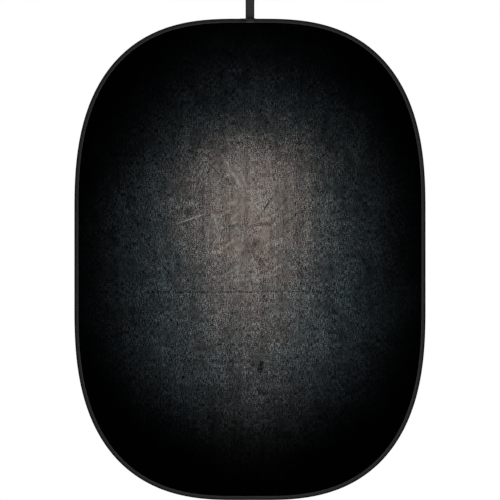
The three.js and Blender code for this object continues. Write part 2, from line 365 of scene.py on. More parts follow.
class Bench:
    """The operators that every piece is made with."""

    @staticmethod
    def clear() -> None:
        """Leaves edit mode and deselects everything."""
        if bpy.context.object and bpy.context.object.mode != "OBJECT":
            bpy.ops.object.mode_set(mode="OBJECT")
        bpy.ops.object.select_all(action="DESELECT")

    @staticmethod
    def take(piece: Piece) -> None:
        """Selects one piece alone and makes it active."""
        Bench.clear()
        piece.select_set(True)
        bpy.context.view_layer.objects.active = piece

    @staticmethod
    def grid(name: str, columns: int, rows: int) -> Piece:
        """A flat grid from -1 to 1 both ways, to be laid onto its shape."""
        Bench.clear()
        bpy.ops.mesh.primitive_grid_add(
            x_subdivisions=columns, y_subdivisions=rows, size=2, calc_uvs=True
        )
        piece = bpy.context.object
        piece.name = piece.data.name = name
        return piece

    @staticmethod
    def points(piece: Piece) -> np.ndarray:
        """The piece's vertices as an array."""
        found = np.empty(len(piece.data.vertices) * 3)
        piece.data.vertices.foreach_get("co", found)
        return found.reshape(-1, 3)

    @staticmethod
    def lay(piece: Piece, places: np.ndarray, flat_map: np.ndarray) -> None:
        """Moves a sheet's vertices to their places and writes its map in metres.

        Args:
            piece: the mesh object.
            places: a new place for each vertex.
            flat_map: two map coordinates for each vertex.
        """
        mesh = piece.data
        mesh.vertices.foreach_set("co", np.ascontiguousarray(places).ravel())
        corner = np.empty(len(mesh.loops), np.int32)
        mesh.loops.foreach_get("vertex_index", corner)
        layer = mesh.uv_layers[0] if mesh.uv_layers else mesh.uv_layers.new()
        layer.name = MAP_NAME
        layer.data.foreach_set("uv", np.ascontiguousarray(flat_map[corner]).ravel())
        mesh.update()

    @staticmethod
    def merge(piece: Piece, distance: float = 1e-6) -> None:
        """Closes seams and poles by merging doubled vertices."""
        Bench.take(piece)
        bpy.ops.object.mode_set(mode="EDIT")
        bpy.ops.mesh.select_all(action="SELECT")
        bpy.ops.mesh.remove_doubles(threshold=distance)
        bpy.ops.mesh.dissolve_degenerate(threshold=distance)
        bpy.ops.object.mode_set(mode="OBJECT")

    @staticmethod
    def finish(
        piece: Piece, thickness: float = 0, bevel: float = 0, segments: int = 1
    ) -> Piece:
        """Gives a sheet its thickness and its rounded edges, and shades it.

        Args:
            piece: the mesh object.
            thickness: the wall's thickness, or 0 for a closed shape.
            bevel: the width of the rounding on sharp edges, or 0 for none.
            segments: how many faces make the rounding.

        Returns:
            The same object.
        """
        Bench.take(piece)
        if thickness:
            wall = piece.modifiers.new("wall", "SOLIDIFY")
            wall.thickness, wall.offset, wall.use_even_offset = thickness, 0, True
            bpy.ops.object.modifier_apply(modifier=wall.name)
        if bevel:
            rounding = piece.modifiers.new("rounding", "BEVEL")
            rounding.width, rounding.segments = bevel, segments
            rounding.limit_method, rounding.angle_limit = "ANGLE", math.radians(50)
            bpy.ops.object.modifier_apply(modifier=rounding.name)
        bpy.ops.object.shade_smooth_by_angle(angle=math.radians(34))
        Bench.clear()
        return piece

    @staticmethod
    def join(name: str, pieces: list[Piece]) -> Piece:
        """Joins meshes into one object."""
        Bench.clear()
        for piece in pieces:
            piece.select_set(True)
        bpy.context.view_layer.objects.active = pieces[0]
        if len(pieces) > 1:
            bpy.ops.object.join()
        pieces[0].name = pieces[0].data.name = name
        Bench.clear()
        return pieces[0]


@dataclass(frozen=True)
class ThreadShape:
    """One stitch: a short length of thread pressed into the cloth at both ends."""

    length: float = 3.1 * MM
    width: float = 0.62 * MM
    height: float = 0.46 * MM
    around: int = 6
    cuts: Triple = (0.3, 0, -0.3)
    end_share: float = 0.2
    end_thinning: float = 0.62

    def model(self) -> tuple[np.ndarray, list[tuple[int, ...]]]:
        """Models one stitch along X, standing towards +Z.

        Returns:
            Its vertices and faces.
        """
        Bench.clear()
        bpy.ops.mesh.primitive_cylinder_add(
            vertices=self.around, radius=0.5, depth=1, rotation=(0, math.pi / 2, 0)
        )
        thread = bpy.context.object
        bpy.ops.object.transform_apply(location=False, rotation=True, scale=False)
        Bench.take(thread)
        bpy.ops.object.mode_set(mode="EDIT")
        for share in self.cuts:
            bpy.ops.mesh.select_all(action="SELECT")
            bpy.ops.mesh.bisect(plane_co=(share, 0, 0), plane_no=(1, 0, 0))
        bpy.ops.object.mode_set(mode="OBJECT")
        mesh = thread.data
        points = Bench.points(thread)
        from_middle = np.abs(points[:, 0])
        near_end = np.clip((from_middle - self.cuts[0]) / self.end_share, 0, 1)
        swell = 1 - self.end_thinning * near_end**2
        arch = np.cos(np.clip(from_middle * 2, 0, 1) * math.pi / 2) ** 0.5
        points[:, 1] *= self.width * swell
        points[:, 2] = points[:, 2] * self.height * swell + (arch - 0.75) * self.height * 0.8
        points[:, 0] *= self.length
        faces = [tuple(polygon.vertices) for polygon in mesh.polygons]
        bpy.data.objects.remove(thread)
        bpy.data.meshes.remove(mesh)
        return points, faces


StitchRow = tuple[np.ndarray, np.ndarray, np.ndarray]


class StitchMaker:
    """Copies one modelled stitch to many places."""

    def __init__(self, shape: ThreadShape) -> None:
        """Models the stitch once."""
        self.shape = shape
        self.points, self.faces = shape.model()

    def sew(self, name: str, rows: list[StitchRow]) -> Piece:
        """Makes one object that holds a stitch at every given place.

        Args:
            name: the new object's name.
            rows: for each row its stitches' middles, directions and outward directions.

        Returns:
            The object, with its map's first coordinate along each stitch.
        """
        centres, along, outward = (np.concatenate(part) for part in zip(*rows))
        along = along / np.linalg.norm(along, axis=1)[:, None]
        outward = outward - (outward * along).sum(1)[:, None] * along
        outward /= np.linalg.norm(outward, axis=1)[:, None]
        frames = np.stack([along, np.cross(outward, along), outward], 1)
        placed = np.einsum("pk,nkc->npc", self.points, frames) + centres[:, None]
        count = len(self.points)
        faces = [
            tuple(v + n * count for v in face) for n in range(len(centres)) for face in self.faces
        ]
        mesh = bpy.data.meshes.new(name)
        mesh.from_pydata(placed.reshape(-1, 3).tolist(), [], faces)
        piece = bpy.data.objects.new(name, mesh)
        bpy.context.scene.collection.objects.link(piece)
        row = np.repeat(np.arange(len(centres)) * self.shape.length, count)
        along_row = row + np.tile(self.points[:, 0], len(centres))
        flat = np.stack([along_row, placed[..., 2].ravel()], 1)
        Bench.lay(piece, placed.reshape(-1, 3), flat)
        return Bench.finish(piece)


# ---------------------------------------------------------------- wiring shader nodes


class Wiring:
    """Adds nodes to one shader tree and links them."""

    def __init__(self, tree: bpy.types.NodeTree) -> None:
        """Starts on a tree."""
        self.tree = tree

    def put(self, target: Socket, value: Source) -> None:
        """Links a socket, or sets a plain value on the node's own socket."""
        if isinstance(value, Socket):
            self.tree.links.new(value, target)
        elif isinstance(value, tuple) and target.type == "RGBA" and len(value) == 3:
            target.default_value = (*value, 1)
        else:
            target.default_value = value

    def node(self, kind: str, inputs: dict | None = None, **settings: object) -> bpy.types.Node:
        """Adds a node.

        Args:
            kind: the node's type, without its ShaderNode prefix.
            inputs: values or links for its sockets, by name or number.
            settings: the node's own properties.
        """
        made = self.tree.nodes.new("ShaderNode" + kind)
        for name, value in settings.items():
            setattr(made, name, value)
        for key, value in (inputs or {}).items():
            self.put(made.inputs[key], value)
        return made

    def math(self, work: str, *values: Source, clamp: bool = False) -> Socket:
        """A Math node's output."""
        made = self.node("Math", dict(enumerate(values)), operation=work, use_clamp=clamp)
        return made.outputs[0]

    def times(self, first: Source, second: Source) -> Socket:
        """A product."""
        return self.math("MULTIPLY", first, second)

    def plus(self, first: Source, second: Source) -> Socket:
        """A sum."""
        return self.math("ADD", first, second)

    def fused(self, first: Source, second: Source, added: Source) -> Socket:
        """First times second, plus a third."""
        return self.math("MULTIPLY_ADD", first, second, added)

    def parts(self, place: Source) -> bpy.types.bpy_prop_collection:
        """The three parts of a place."""
        return self.node("SeparateXYZ", {0: place}).outputs

    def turned(self, place: Source, angle: Source) -> bpy.types.bpy_prop_collection:
        """The three parts of a place turned about the map's own axis."""
        made = self.node(
            "VectorRotate", {"Vector": place, "Angle": angle}, rotation_type="Z_AXIS"
        )
        return self.parts(made.outputs[0])

    def grey(self, value: Source) -> Socket:
        """A grey colour of one value."""
        return self.node("CombineColor", {0: value, 1: value, 2: value}).outputs[0]

    def vector(self, work: str, *values: Source) -> Socket:
        """A Vector Math node's output."""
        return self.node("VectorMath", dict(enumerate(values)), operation=work).outputs[0]

    def mix(
        self, factor: Source, first: Source, second: Source, blend: str = "MIX"
    ) -> Socket:
        """A colour mix."""
        made = self.node("Mix", {0: factor}, data_type="RGBA", blend_type=blend)
        self.put(made.inputs[6], first)
        self.put(made.inputs[7], second)
        return made.outputs[2]

    def shaded(self, colour: Source, shade: Source) -> Socket:
        """A colour multiplied by another."""
        return self.mix(1.0, colour, shade, "MULTIPLY")

    def ramp(self, value: Source, low: Source, high: Source, to: Pair = (0.0, 1.0)) -> Socket:
        """Maps a value evenly from low..high to the given span, clamped."""
        return self.node("MapRange", {0: value, 1: low, 2: high, 3: to[0], 4: to[1]}).outputs[0]

    def span(
        self, value: Source, low: float, high: float, to: Pair = (0.0, 1.0)
    ) -> Socket:
        """Maps a value smoothly from low..high to the given span, clamped."""
        made = self.node(
            "MapRange", {0: value, 1: low, 2: high, 3: to[0], 4: to[1]},
            interpolation_type="SMOOTHSTEP",
        )
        return made.outputs[0]

    def noise(
        self, place: Source, scale: float, detail: float = 2, roughness: float = 0.5,
        twist: float = 0,
    ) -> Socket:
        """A noise value round one half."""
        made = self.node(
            "TexNoise",
            {"Vector": place, "Scale": scale, "Detail": detail, "Roughness": roughness,
             "Distortion": twist},
        )
        return made.outputs[0]

    def scaled(self, place: Source, by: Triple) -> Socket:
        """A place multiplied part by part."""
        return self.vector("MULTIPLY", place, by)

    def moved(self, place: Source, by: Triple) -> Socket:
        """A place with a fixed offset."""
        return self.vector("ADD", place, by)


@dataclass(frozen=True)
class Patches:
    """Soft patches of noise, mapped smoothly onto a span of values."""

    scale: float
    detail: float = 2
    grit: float = 0.5
    low: float = 0.3
    high: float = 0.7
    to: Pair = (0.0, 1.0)
    stretch: Triple = (1, 1, 1)
    moved: Triple = (0, 0, 0)

    def noise(self, w: Wiring, place: Source) -> Socket:
        """The noise itself, round one half."""
        if any(self.moved):
            place = w.moved(place, self.moved)
        if self.stretch != (1, 1, 1):
            place = w.scaled(place, self.stretch)
        return w.noise(place, self.scale, self.detail, self.grit)

    def on(self, w: Wiring, place: Source) -> Socket:
        """The patches' value at a place."""
        return w.span(self.noise(w, place), self.low, self.high, self.to)


@dataclass(frozen=True)
class SharedEffect:
    """A node group that several finishes use: its plain inputs besides place, and its wiring."""

    name: str
    inputs: tuple[tuple[str, float], ...]
    outputs: tuple[str, ...]
    wire: Callable[[Wiring, dict], dict]

    def group(self) -> bpy.types.NodeTree:
        """Builds the group the first time, and finds it after that."""
        found = bpy.data.node_groups.get(self.name)
        if found:
            return found
        tree = bpy.data.node_groups.new(self.name, "ShaderNodeTree")
        tree.interface.new_socket("place", in_out="INPUT", socket_type="NodeSocketVector")
        for name, value in self.inputs:
            socket = tree.interface.new_socket(
                name, in_out="INPUT", socket_type="NodeSocketFloat"
            )
            socket.default_value = value
        for name in self.outputs:
            tree.interface.new_socket(name, in_out="OUTPUT", socket_type="NodeSocketFloat")
        wiring = Wiring(tree)
        entry, leave = tree.nodes.new("NodeGroupInput"), tree.nodes.new("NodeGroupOutput")
        names = ("place", *(name for name, _ in self.inputs))
        sockets = {name: entry.outputs[name] for name in names}
        for name, value in self.wire(wiring, sockets).items():
            wiring.put(leave.inputs[name], value)
        return tree

    def place(self, wiring: Wiring, **values: Source) -> dict[str, Socket]:
        """Puts the group in a material with its own values.

        Returns:
            The group's outputs by name.
        """
        made = wiring.node("Group", node_tree=self.group())
        for name, value in values.items():
            wiring.put(made.inputs[name.replace("_", " ")], value)
        return {name: made.outputs[name] for name in self.outputs}


def wire_plain_weave(w: Wiring, ins: dict) -> dict:
    """Crossing threads: a height, and a shade that differs a little from thread to thread."""
    turns = w.math("DIVIDE", 2 * math.pi, ins["pitch"])
    parts = w.parts(ins["place"])
    warp = w.math("SINE", w.times(parts[0], turns))
    weft = w.math("SINE", w.times(parts[1], turns))
    over = w.times(w.math("ABSOLUTE", warp), w.math("ABSOLUTE", weft))
    height = w.fused(w.times(warp, weft), 0.5, w.times(over, 0.5))
    stretches = (900, 14, 1), (14, 900, 1)
    slubs = [Patches(1.0, stretch=stretch).noise(w, ins["place"]) for stretch in stretches]
    return {"height": height, "shade": w.plus(*slubs)}


PLAIN_WEAVE = SharedEffect(
    "plain_weave", (("pitch", 0.0009),), ("height", "shade"), wire_plain_weave
)


def wire_ribbing(w: Wiring, ins: dict) -> dict:
    """Ribs across a woven tape, with fine threads along it."""
    parts = w.parts(ins["place"])
    rib, thread = (
        w.math("SINE", w.times(part, w.math("DIVIDE", 2 * math.pi, ins[name])))
        for part, name in zip(parts, ("rib", "thread"))
    )
    height = w.fused(thread, 0.28, w.times(rib, 0.5))
    uneven = Patches(1.0, 3, 0.6, stretch=(260, 1500, 1)).noise(w, ins["place"])
    return {"height": w.plus(height, uneven), "shade": uneven}


RIBBING = SharedEffect(
    "ribbing", (("rib", 0.0014), ("thread", 0.0008)), ("height", "shade"), wire_ribbing
)


def wire_glow(w: Wiring, ins: dict) -> dict:
    """A soft bright area that falls off at its own rate to the sides, upwards and downwards."""
    parts = w.parts(ins["place"])
    across = w.math("DIVIDE", parts[0], ins["half width"])
    height = w.math("SUBTRACT", parts[1], ins["middle"])
    above = w.math("DIVIDE", w.math("MAXIMUM", height, 0.0), ins["rise"])
    below = w.math("DIVIDE", w.math("MINIMUM", height, 0.0), ins["drop"])
    upright = w.plus(w.times(above, above), w.times(below, below))
    square = w.fused(across, across, upright)
    power = w.math("POWER", square, w.times(ins["power"], 0.5))
    return {"mask": w.math("POWER", math.e, w.times(power, -1.0))}


GLOW = SharedEffect(
    "printed_glow",
    (("middle", 0), ("half width", 0.3), ("rise", 0.3), ("drop", 0.5), ("power", 2)),
    ("mask",),
    wire_glow,
)


def wire_scratches(w: Wiring, ins: dict) -> dict:
    """Long thin broken lines in one direction, gathered in patches."""
    parts = w.turned(ins["place"], ins["turn"])
    across = w.math("DIVIDE", parts[0], ins["spacing"])
    along = w.math("DIVIDE", parts[1], ins["length"])
    lane = w.node("CombineXYZ", {0: across, 1: along, 2: ins["turn"]}).outputs[0]
    ridge = w.math("ABSOLUTE", w.math("SUBTRACT", w.noise(lane, 1.0, 1, 0.4, 0.25), 0.5))
    line = w.ramp(ridge, ins["thinness"], 0.0)
    own = w.node("CombineXYZ", {0: ins["turn"], 1: ins["spacing"], 2: ins["length"]}).outputs[0]
    patch = w.noise(w.vector("MULTIPLY_ADD", own, (3.1, 97.0, 41.0), ins["place"]), 9.0, 2, 0.6)
    gate = w.ramp(patch, ins["gate"], w.plus(ins["gate"], 0.09))
    return {"mask": w.times(line, gate)}


SCRATCHES = SharedEffect(
    "scratch_lines",
    (("turn", 0), ("spacing", 0.03), ("length", 0.5), ("thinness", 0.02), ("gate", 0.5)),
    ("mask",),
    wire_scratches,
)


def wire_single_mark(w: Wiring, ins: dict) -> dict:
    """A broken line that starts at the place's zero, runs along its turned X and tapers off."""
    parts = w.turned(ins["place"], ins["turn"])
    sway = w.fused(w.noise(ins["place"], 9.0, 3), 0.02, -0.01)
    off = w.math("ABSOLUTE", w.plus(parts[1], w.times(sway, ins["length"])))
    line = w.ramp(off, ins["half width"], 0.0)
    taper = w.times(ins["length"], 0.18)
    begin = w.ramp(parts[0], w.times(ins["half width"], -1.0), taper)
    left = w.math("SUBTRACT", w.plus(ins["length"], ins["half width"]), parts[0])
    end = w.ramp(left, 0.0, taper)
    breaks = Patches(1.0, 3, low=0.36, high=0.54, to=(0.45, 1.0), stretch=(22, 9, 1))
    return {"mask": w.times(w.times(line, w.times(begin, end)), breaks.on(w, ins["place"]))}


SINGLE_MARK = SharedEffect(
    "single_mark", (("turn", 0), ("length", 0.1), ("half width", 0.003)), ("mask",),
    wire_single_mark,
)


def wire_dust(w: Wiring, ins: dict) -> dict:
    """Lint, rubbed patches and shelf dust on dark goods."""
    wide = Patches(5.0, 4, 0.62, 0.47, 0.68).on(w, ins["place"])
    lint = w.node("TexVoronoi", {"Vector": ins["place"], "Scale": 95.0, "Randomness": 1.0})
    speck = w.ramp(lint.outputs["Distance"], 0.12, 0.05)
    rare = Patches(31.0, low=0.56, high=0.62, moved=(9, 2, 4)).on(w, ins["place"])
    fine = Patches(420.0, 3, 0.7, 0.35, 0.7).on(w, ins["place"])
    return {"haze": w.times(w.times(wide, fine), ins["amount"]),
            "lint": w.times(w.times(speck, rare), ins["amount"])}


DUST = SharedEffect("dust_and_lint", (("amount", 1),), ("haze", "lint"), wire_dust)


# ---------------------------------------------------------------- finishes


class Finish:
    """A material under construction, with its wiring and its one surface shader."""

    def __init__(self, name: str, space: PatternSpace, **surface: float) -> None:
        """Starts a material.

        Args:
            name: the material's name.
            space: where its patterns take their place from.
            surface: plain values for the surface shader, set on its own sockets.
        """
        self.material = bpy.data.materials.new(name + "_finish")
        self.material.use_nodes = True
        self.wiring = Wiring(self.material.node_tree)
        self.shader = self.material.node_tree.nodes["Principled BSDF"]
        for key, value in surface.items():
            self.wiring.put(self.shader.inputs[key.replace("_", " ")], value)
        if space is PatternSpace.FLAT_MAP:
            self.place = self.wiring.node("UVMap", uv_map=MAP_NAME).outputs[0]
        else:
            self.place = self.wiring.node("TexCoord").outputs["Object"]

    def colour(self, value: Source) -> None:
        """Sets the base colour."""
        self.wiring.put(self.shader.inputs["Base Color"], value)

    def rough(self, value: Source) -> None:
        """Sets the roughness."""
        self.wiring.put(self.shader.inputs["Roughness"], value)

    def patches(self, patches: Patches) -> Socket:
        """Patches over the finish's own place."""
        return patches.on(self.wiring, self.place)

    def effect(self, effect: SharedEffect, **values: Source) -> dict[str, Socket]:
        """A shared effect over the finish's own place."""
        return effect.place(self.wiring, place=self.place, **values)

    def across(self) -> Socket:
        """The distance from the map's middle line."""
        return self.wiring.math("ABSOLUTE", self.wiring.parts(self.place)[1])

    def relief(self, *layers: tuple[Socket, float, float]) -> None:
        """Stacks bump layers of (height, strength, distance) on the surface."""
        normal: Socket | None = None
        for height, strength, distance in layers:
            inputs: dict = {"Height": height, "Strength": strength, "Distance": distance}
            if normal is not None:
                inputs["Normal"] = normal
            normal = self.wiring.node("Bump", inputs).outputs[0]
        self.wiring.put(self.shader.inputs["Normal"], normal)


@dataclass(frozen=True)
class GlowLobe:
    """One soft bright area of the print."""

    colour: Triple
    middle: float
    half_width: float
    rise: float
    drop: float
    power: float

    def wired(self, w: Wiring, place: Source) -> tuple[Socket, Socket]:
        """The lobe's mask and its colour."""
        mask = GLOW.place(
            w, place=place, middle=self.middle, half_width=self.half_width, rise=self.rise,
            drop=self.drop, power=self.power,
        )["mask"]
        return mask, w.mix(mask, (0.0, 0.0, 0.0), self.colour)


@dataclass(frozen=True)
class ScratchSet:
    """One family of printed scratch lines, dark where its strength is below zero."""

    turn_degrees: float
    spacing: float
    length: float
    thinness: float
    gate: float
    strength: float

    def mask(self, f: Finish) -> Socket:
        """Where the lines are."""
        return f.effect(
            SCRATCHES, turn=math.radians(self.turn_degrees), spacing=self.spacing,
            length=self.length, thinness=self.thinness, gate=self.gate,
        )["mask"]


@dataclass(frozen=True)
class Mark:
    """One single printed line or spot, from its start to its end."""

    start: Pair
    end: Pair
    half_width: float
    strength: float

    def mask(self, f: Finish) -> Socket:
        """Where the mark is."""
        way = np.subtract(self.end, self.start)
        return SINGLE_MARK.place(
            f.wiring, place=f.wiring.moved(f.place, (-self.start[0], -self.start[1], 0)),
            turn=-math.atan2(way[1], way[0]), length=float(np.hypot(*way)),
            half_width=self.half_width,
        )["mask"]


@dataclass(frozen=True)
class PrintedClothFinish:
    """Dark mottled plaster look printed on polyester, brighter and warmer near the middle."""

    warm: GlowLobe = GlowLobe((0.1575, 0.1236, 0.1075), 0.277, 0.2276, 0.2133, 0.5477, 2.293)
    cool: GlowLobe = GlowLobe((0.0273, 0.0360, 0.0391), -0.0934, 0.5215, 0.7544, 0.5356, 3.92)
    scratches: tuple[ScratchSet | Mark, ...] = (
        ScratchSet(2, 0.070, 0.90, 0.020, 0.43, -0.34),
        ScratchSet(-4, 0.095, 1.10, 0.017, 0.46, 0.36),
        ScratchSet(90, 0.105, 1.30, 0.014, 0.46, -0.34),
        ScratchSet(87, 0.135, 1.50, 0.012, 0.47, 0.34),
        ScratchSet(34, 0.110, 1.50, 0.014, 0.47, -0.42),
        ScratchSet(-36, 0.125, 1.50, 0.013, 0.48, -0.40),
        ScratchSet(61, 0.150, 1.70, 0.011, 0.49, 0.46),
        ScratchSet(-24, 0.165, 1.70, 0.011, 0.48, 0.46),
        Mark((-0.63, -0.146), (0.42, -0.138), 0.0054, -0.66),
        Mark((-0.45, -0.156), (0.06, -0.150), 0.0036, 0.34),
        Mark((-0.335, 0.150), (-0.190, 0.200), 0.0042, 1.90),
        Mark((0.022, 0.158), (0.110, 0.288), 0.0048, -1.00),
        Mark((0.150, 0.150), (0.226, 0.221), 0.0046, -0.90),
        Mark((0.046, -0.490), (0.050, -0.456), 0.0150, -1.55),
    )
    wander_scale: float = 2.6
    wander: Triple = (0.16, 0.13, 0.0)
    full_glow: float = 0.85
    blotch: Patches = Patches(6.5, 4, 0.62, 0.32, 0.68, (0.91, 1.09))
    smear: Patches = Patches(1.0, 3, 0.6, to=(0.83, 1.17), stretch=(30, 2.4, 1), moved=(2, 8, 0))
    hue: Patches = Patches(8.0, low=0.4, high=0.6, moved=(6, 3, 0))
    hues: tuple[Triple, Triple] = ((1.022, 0.992, 0.975), (0.978, 1.010, 1.018))
    mottle: Patches = Patches(46.0, 2, 0.6, stretch=(1, 0.8, 1), moved=(1, 6, 0))
    mottle_strength: Pair = (1.5, 0.85)
    grain: Patches = Patches(1 / 0.0044, 0, stretch=(1.5, 1.25, 1))
    streak: Patches = Patches(1 / 0.0044, 0, stretch=(0.95, 0.25, 1), moved=(4, 2, 0))
    streak_share: float = 0.45
    grainy: Patches = Patches(11.0, 3, 0.6, 0.36, 0.58, (0.42, 1.30), moved=(5, 1, 0))
    grain_strength: Pair = (7.0, 3.1)
    least_tone: float = 0.12
    tone_power: float = 1.25
    black: Triple = (0.0001, 0.0001, 0.0002)
    weave_pitch: float = 0.0009
    matt: Patches = Patches(60.0, 3, 0.6, to=(0.86, 0.97))
    slack: Patches = Patches(14.0, stretch=(1, 0.6, 1))

    def speckle(self, w: Wiring, place: Source, bright: Source) -> Socket:
        """Fine grain, taller than wide, stronger in some patches and where it is dark."""
        both = w.fused(self.streak.noise(w, place), self.streak_share, self.grain.noise(w, place))
        centred = w.math("SUBTRACT", both, 0.5 * (1 + self.streak_share))
        strength = w.span(bright, 0.0, self.full_glow, self.grain_strength)
        return w.times(centred, w.times(strength, self.grainy.on(w, place)))

    def tone(self, f: Finish, bright: Source) -> Socket:
        """How dark or light the print is beside its glow: mottling, grain, scratches, smears."""
        w = f.wiring
        uneven = w.span(bright, 0.0, self.full_glow, self.mottle_strength)
        tone = w.fused(w.math("SUBTRACT", self.mottle.noise(w, f.place), 0.5), uneven, 1.0)
        tone = w.plus(self.speckle(w, f.place, bright), tone)
        for scratch in self.scratches:
            tone = w.fused(scratch.mask(f), scratch.strength, tone)
        tone = w.math("POWER", w.math("MAXIMUM", tone, self.least_tone), self.tone_power)
        return w.times(tone, w.times(f.patches(self.blotch), f.patches(self.smear)))

    def build(self) -> Material:
        """Builds the material."""
        f = Finish("printed_cloth", PatternSpace.FLAT_MAP, Specular_IOR_Level=0.006)
        w = f.wiring
        drift = w.node("TexNoise", {"Vector": f.place, "Scale": self.wander_scale}).outputs[1]
        drift = w.vector("SUBTRACT", drift, (0.5, 0.5, 0.5))
        bent = w.vector("MULTIPLY_ADD", drift, self.wander, f.place)
        bright, warm = self.warm.wired(w, bent)
        light = w.mix(1.0, warm, self.cool.wired(w, bent)[1], "ADD")
        tinted = w.shaded(light, w.mix(f.patches(self.hue), *self.hues))
        coloured = w.shaded(tinted, w.grey(self.tone(f, bright)))
        weave = f.effect(PLAIN_WEAVE, pitch=self.weave_pitch)
        printed = w.shaded(coloured, w.grey(w.span(weave["shade"], 0.7, 1.3, (0.93, 1.07))))
        f.colour(w.mix(1.0, printed, self.black, "ADD"))
        f.rough(f.patches(self.matt))
        f.relief((self.slack.noise(w, f.place), 0.25, 0.004), (weave["height"], 0.25, 0.00012))
        return f.material


@dataclass(frozen=True)
class LiningClothFinish:
    """Plain black polyester lining with faint weave, lint and handling marks."""

    dark: Triple = (0.0030, 0.0031, 0.0034)
    light: Triple = (0.0085, 0.0087, 0.0094)
    dusty: Triple = (0.040, 0.039, 0.037)
    weave_pitch: float = 0.0011
    cloudy: Patches = Patches(7.0, 5, 0.65)
    crease: ScratchSet = ScratchSet(math.degrees(0.12), 0.09, 1.1, 0.012, 0.46, 0.10)
    matt: Patches = Patches(24.0, 4, 0.6, to=(0.66, 0.84))
    slack: Patches = Patches(7.0, 3, 0.55, stretch=(1, 0.5, 1))

    def build(self) -> Material:
        """Builds the material."""
        f = Finish(
            "lining_cloth", PatternSpace.FLAT_MAP, Specular_IOR_Level=0.12, Sheen_Weight=0.03,
            Sheen_Roughness=0.5,
        )
        w = f.wiring
        weave = f.effect(PLAIN_WEAVE, pitch=self.weave_pitch)
        shade = w.plus(w.times(weave["shade"], 0.5), self.cloudy.noise(w, f.place))
        base = w.mix(w.span(shade, 0.75, 1.3), self.dark, self.light)
        dust = f.effect(DUST, amount=0.45)
        creases = self.crease.mask(f)
        worn = w.mix(w.times(dust["haze"], 0.25), base, self.dusty)
        worn = w.mix(w.times(creases, self.crease.strength), worn, self.dusty)
        f.colour(w.mix(dust["lint"], worn, self.dusty))
        f.rough(f.patches(self.matt))
        slack = self.slack.noise(w, f.place)
        f.relief((slack, 0.8, 0.014), (creases, -0.25, 0.002), (weave["height"], 0.4, 0.00016))
        return f.material


@dataclass(frozen=True)
class BindingTapeFinish:
    """Black grosgrain tape, dusty beside the seam, with painted shade that darkens it round the
    rim's outer edge.

    Where it is sewn over and over, as on the lap, it is mottled and has no dark painted edge shade.
    """

    name: str = "binding_tape"
    sewn_over: float = 0.0
    # The outer edge's colour is painted shade, near black where the rim turns away from the light.
    edge: Triple = (0.0020, 0.0020, 0.0021)
    face: Triple = (0.0205, 0.0200, 0.0197)
    dusty: Triple = (0.060, 0.057, 0.053)
    edge_shade_fade: Pair = (0.0088, 0.0118)
    seam_dust_starts: Pair = (0.0150, 0.0219)
    uneven: Patches = Patches(1.0, 4, 0.6, to=(-0.16, 0.16), stretch=(30, 160, 1))
    seam_dust: Patches = Patches(1.0, 4, 0.6, 0.36, 0.66, (0.05, 0.30), stretch=(14, 300, 1))
    matt: Patches = Patches(90.0, 3, 0.6, to=(0.62, 0.85))

    def pulled(self) -> Patches:
        """The mottling where the tape is sewn over and over."""
        to = (1 - self.sewn_over, 0.5 + self.sewn_over)
        return Patches(125.0, 1, low=0.42, high=0.60, to=to, moved=(0.7, 0.3, 0))

    def build(self) -> Material:
        """Builds the material. The map runs along the rim and then across the tape."""
        f = Finish(
            self.name, PatternSpace.FLAT_MAP, Specular_IOR_Level=0.05, Sheen_Weight=0.01,
            Sheen_Roughness=0.4,
        )
        w = f.wiring
        ribs = f.effect(RIBBING, rib=0.0015, thread=0.0009)
        across = f.across()
        # Runs from painted shade at the rim's outer edge to the tape's own face colour.
        inner = w.span(across, *self.edge_shade_fade)
        shade = w.span(ribs["shade"], 0.3, 0.7, (0.78, 1.22))
        if self.sewn_over:
            inner = w.fused(inner, 0.35, 0.65)
            shade = w.times(shade, f.patches(self.pulled()))
        face = w.math("ADD", inner, f.patches(self.uneven), clamp=True)
        base = w.shaded(w.mix(face, self.edge, self.face), w.grey(shade))
        dust = f.effect(DUST, amount=0.55)
        worn = w.mix(w.times(dust["haze"], w.times(inner, 0.18)), base, self.dusty)
        seam = w.times(w.span(across, *self.seam_dust_starts), f.patches(self.seam_dust))
        worn = w.mix(seam, worn, self.dusty)
        f.colour(w.mix(w.times(dust["lint"], 0.5), worn, self.dusty))
        f.rough(f.patches(self.matt))
        f.relief((ribs["height"], 0.55, 0.00028))
        return f.material


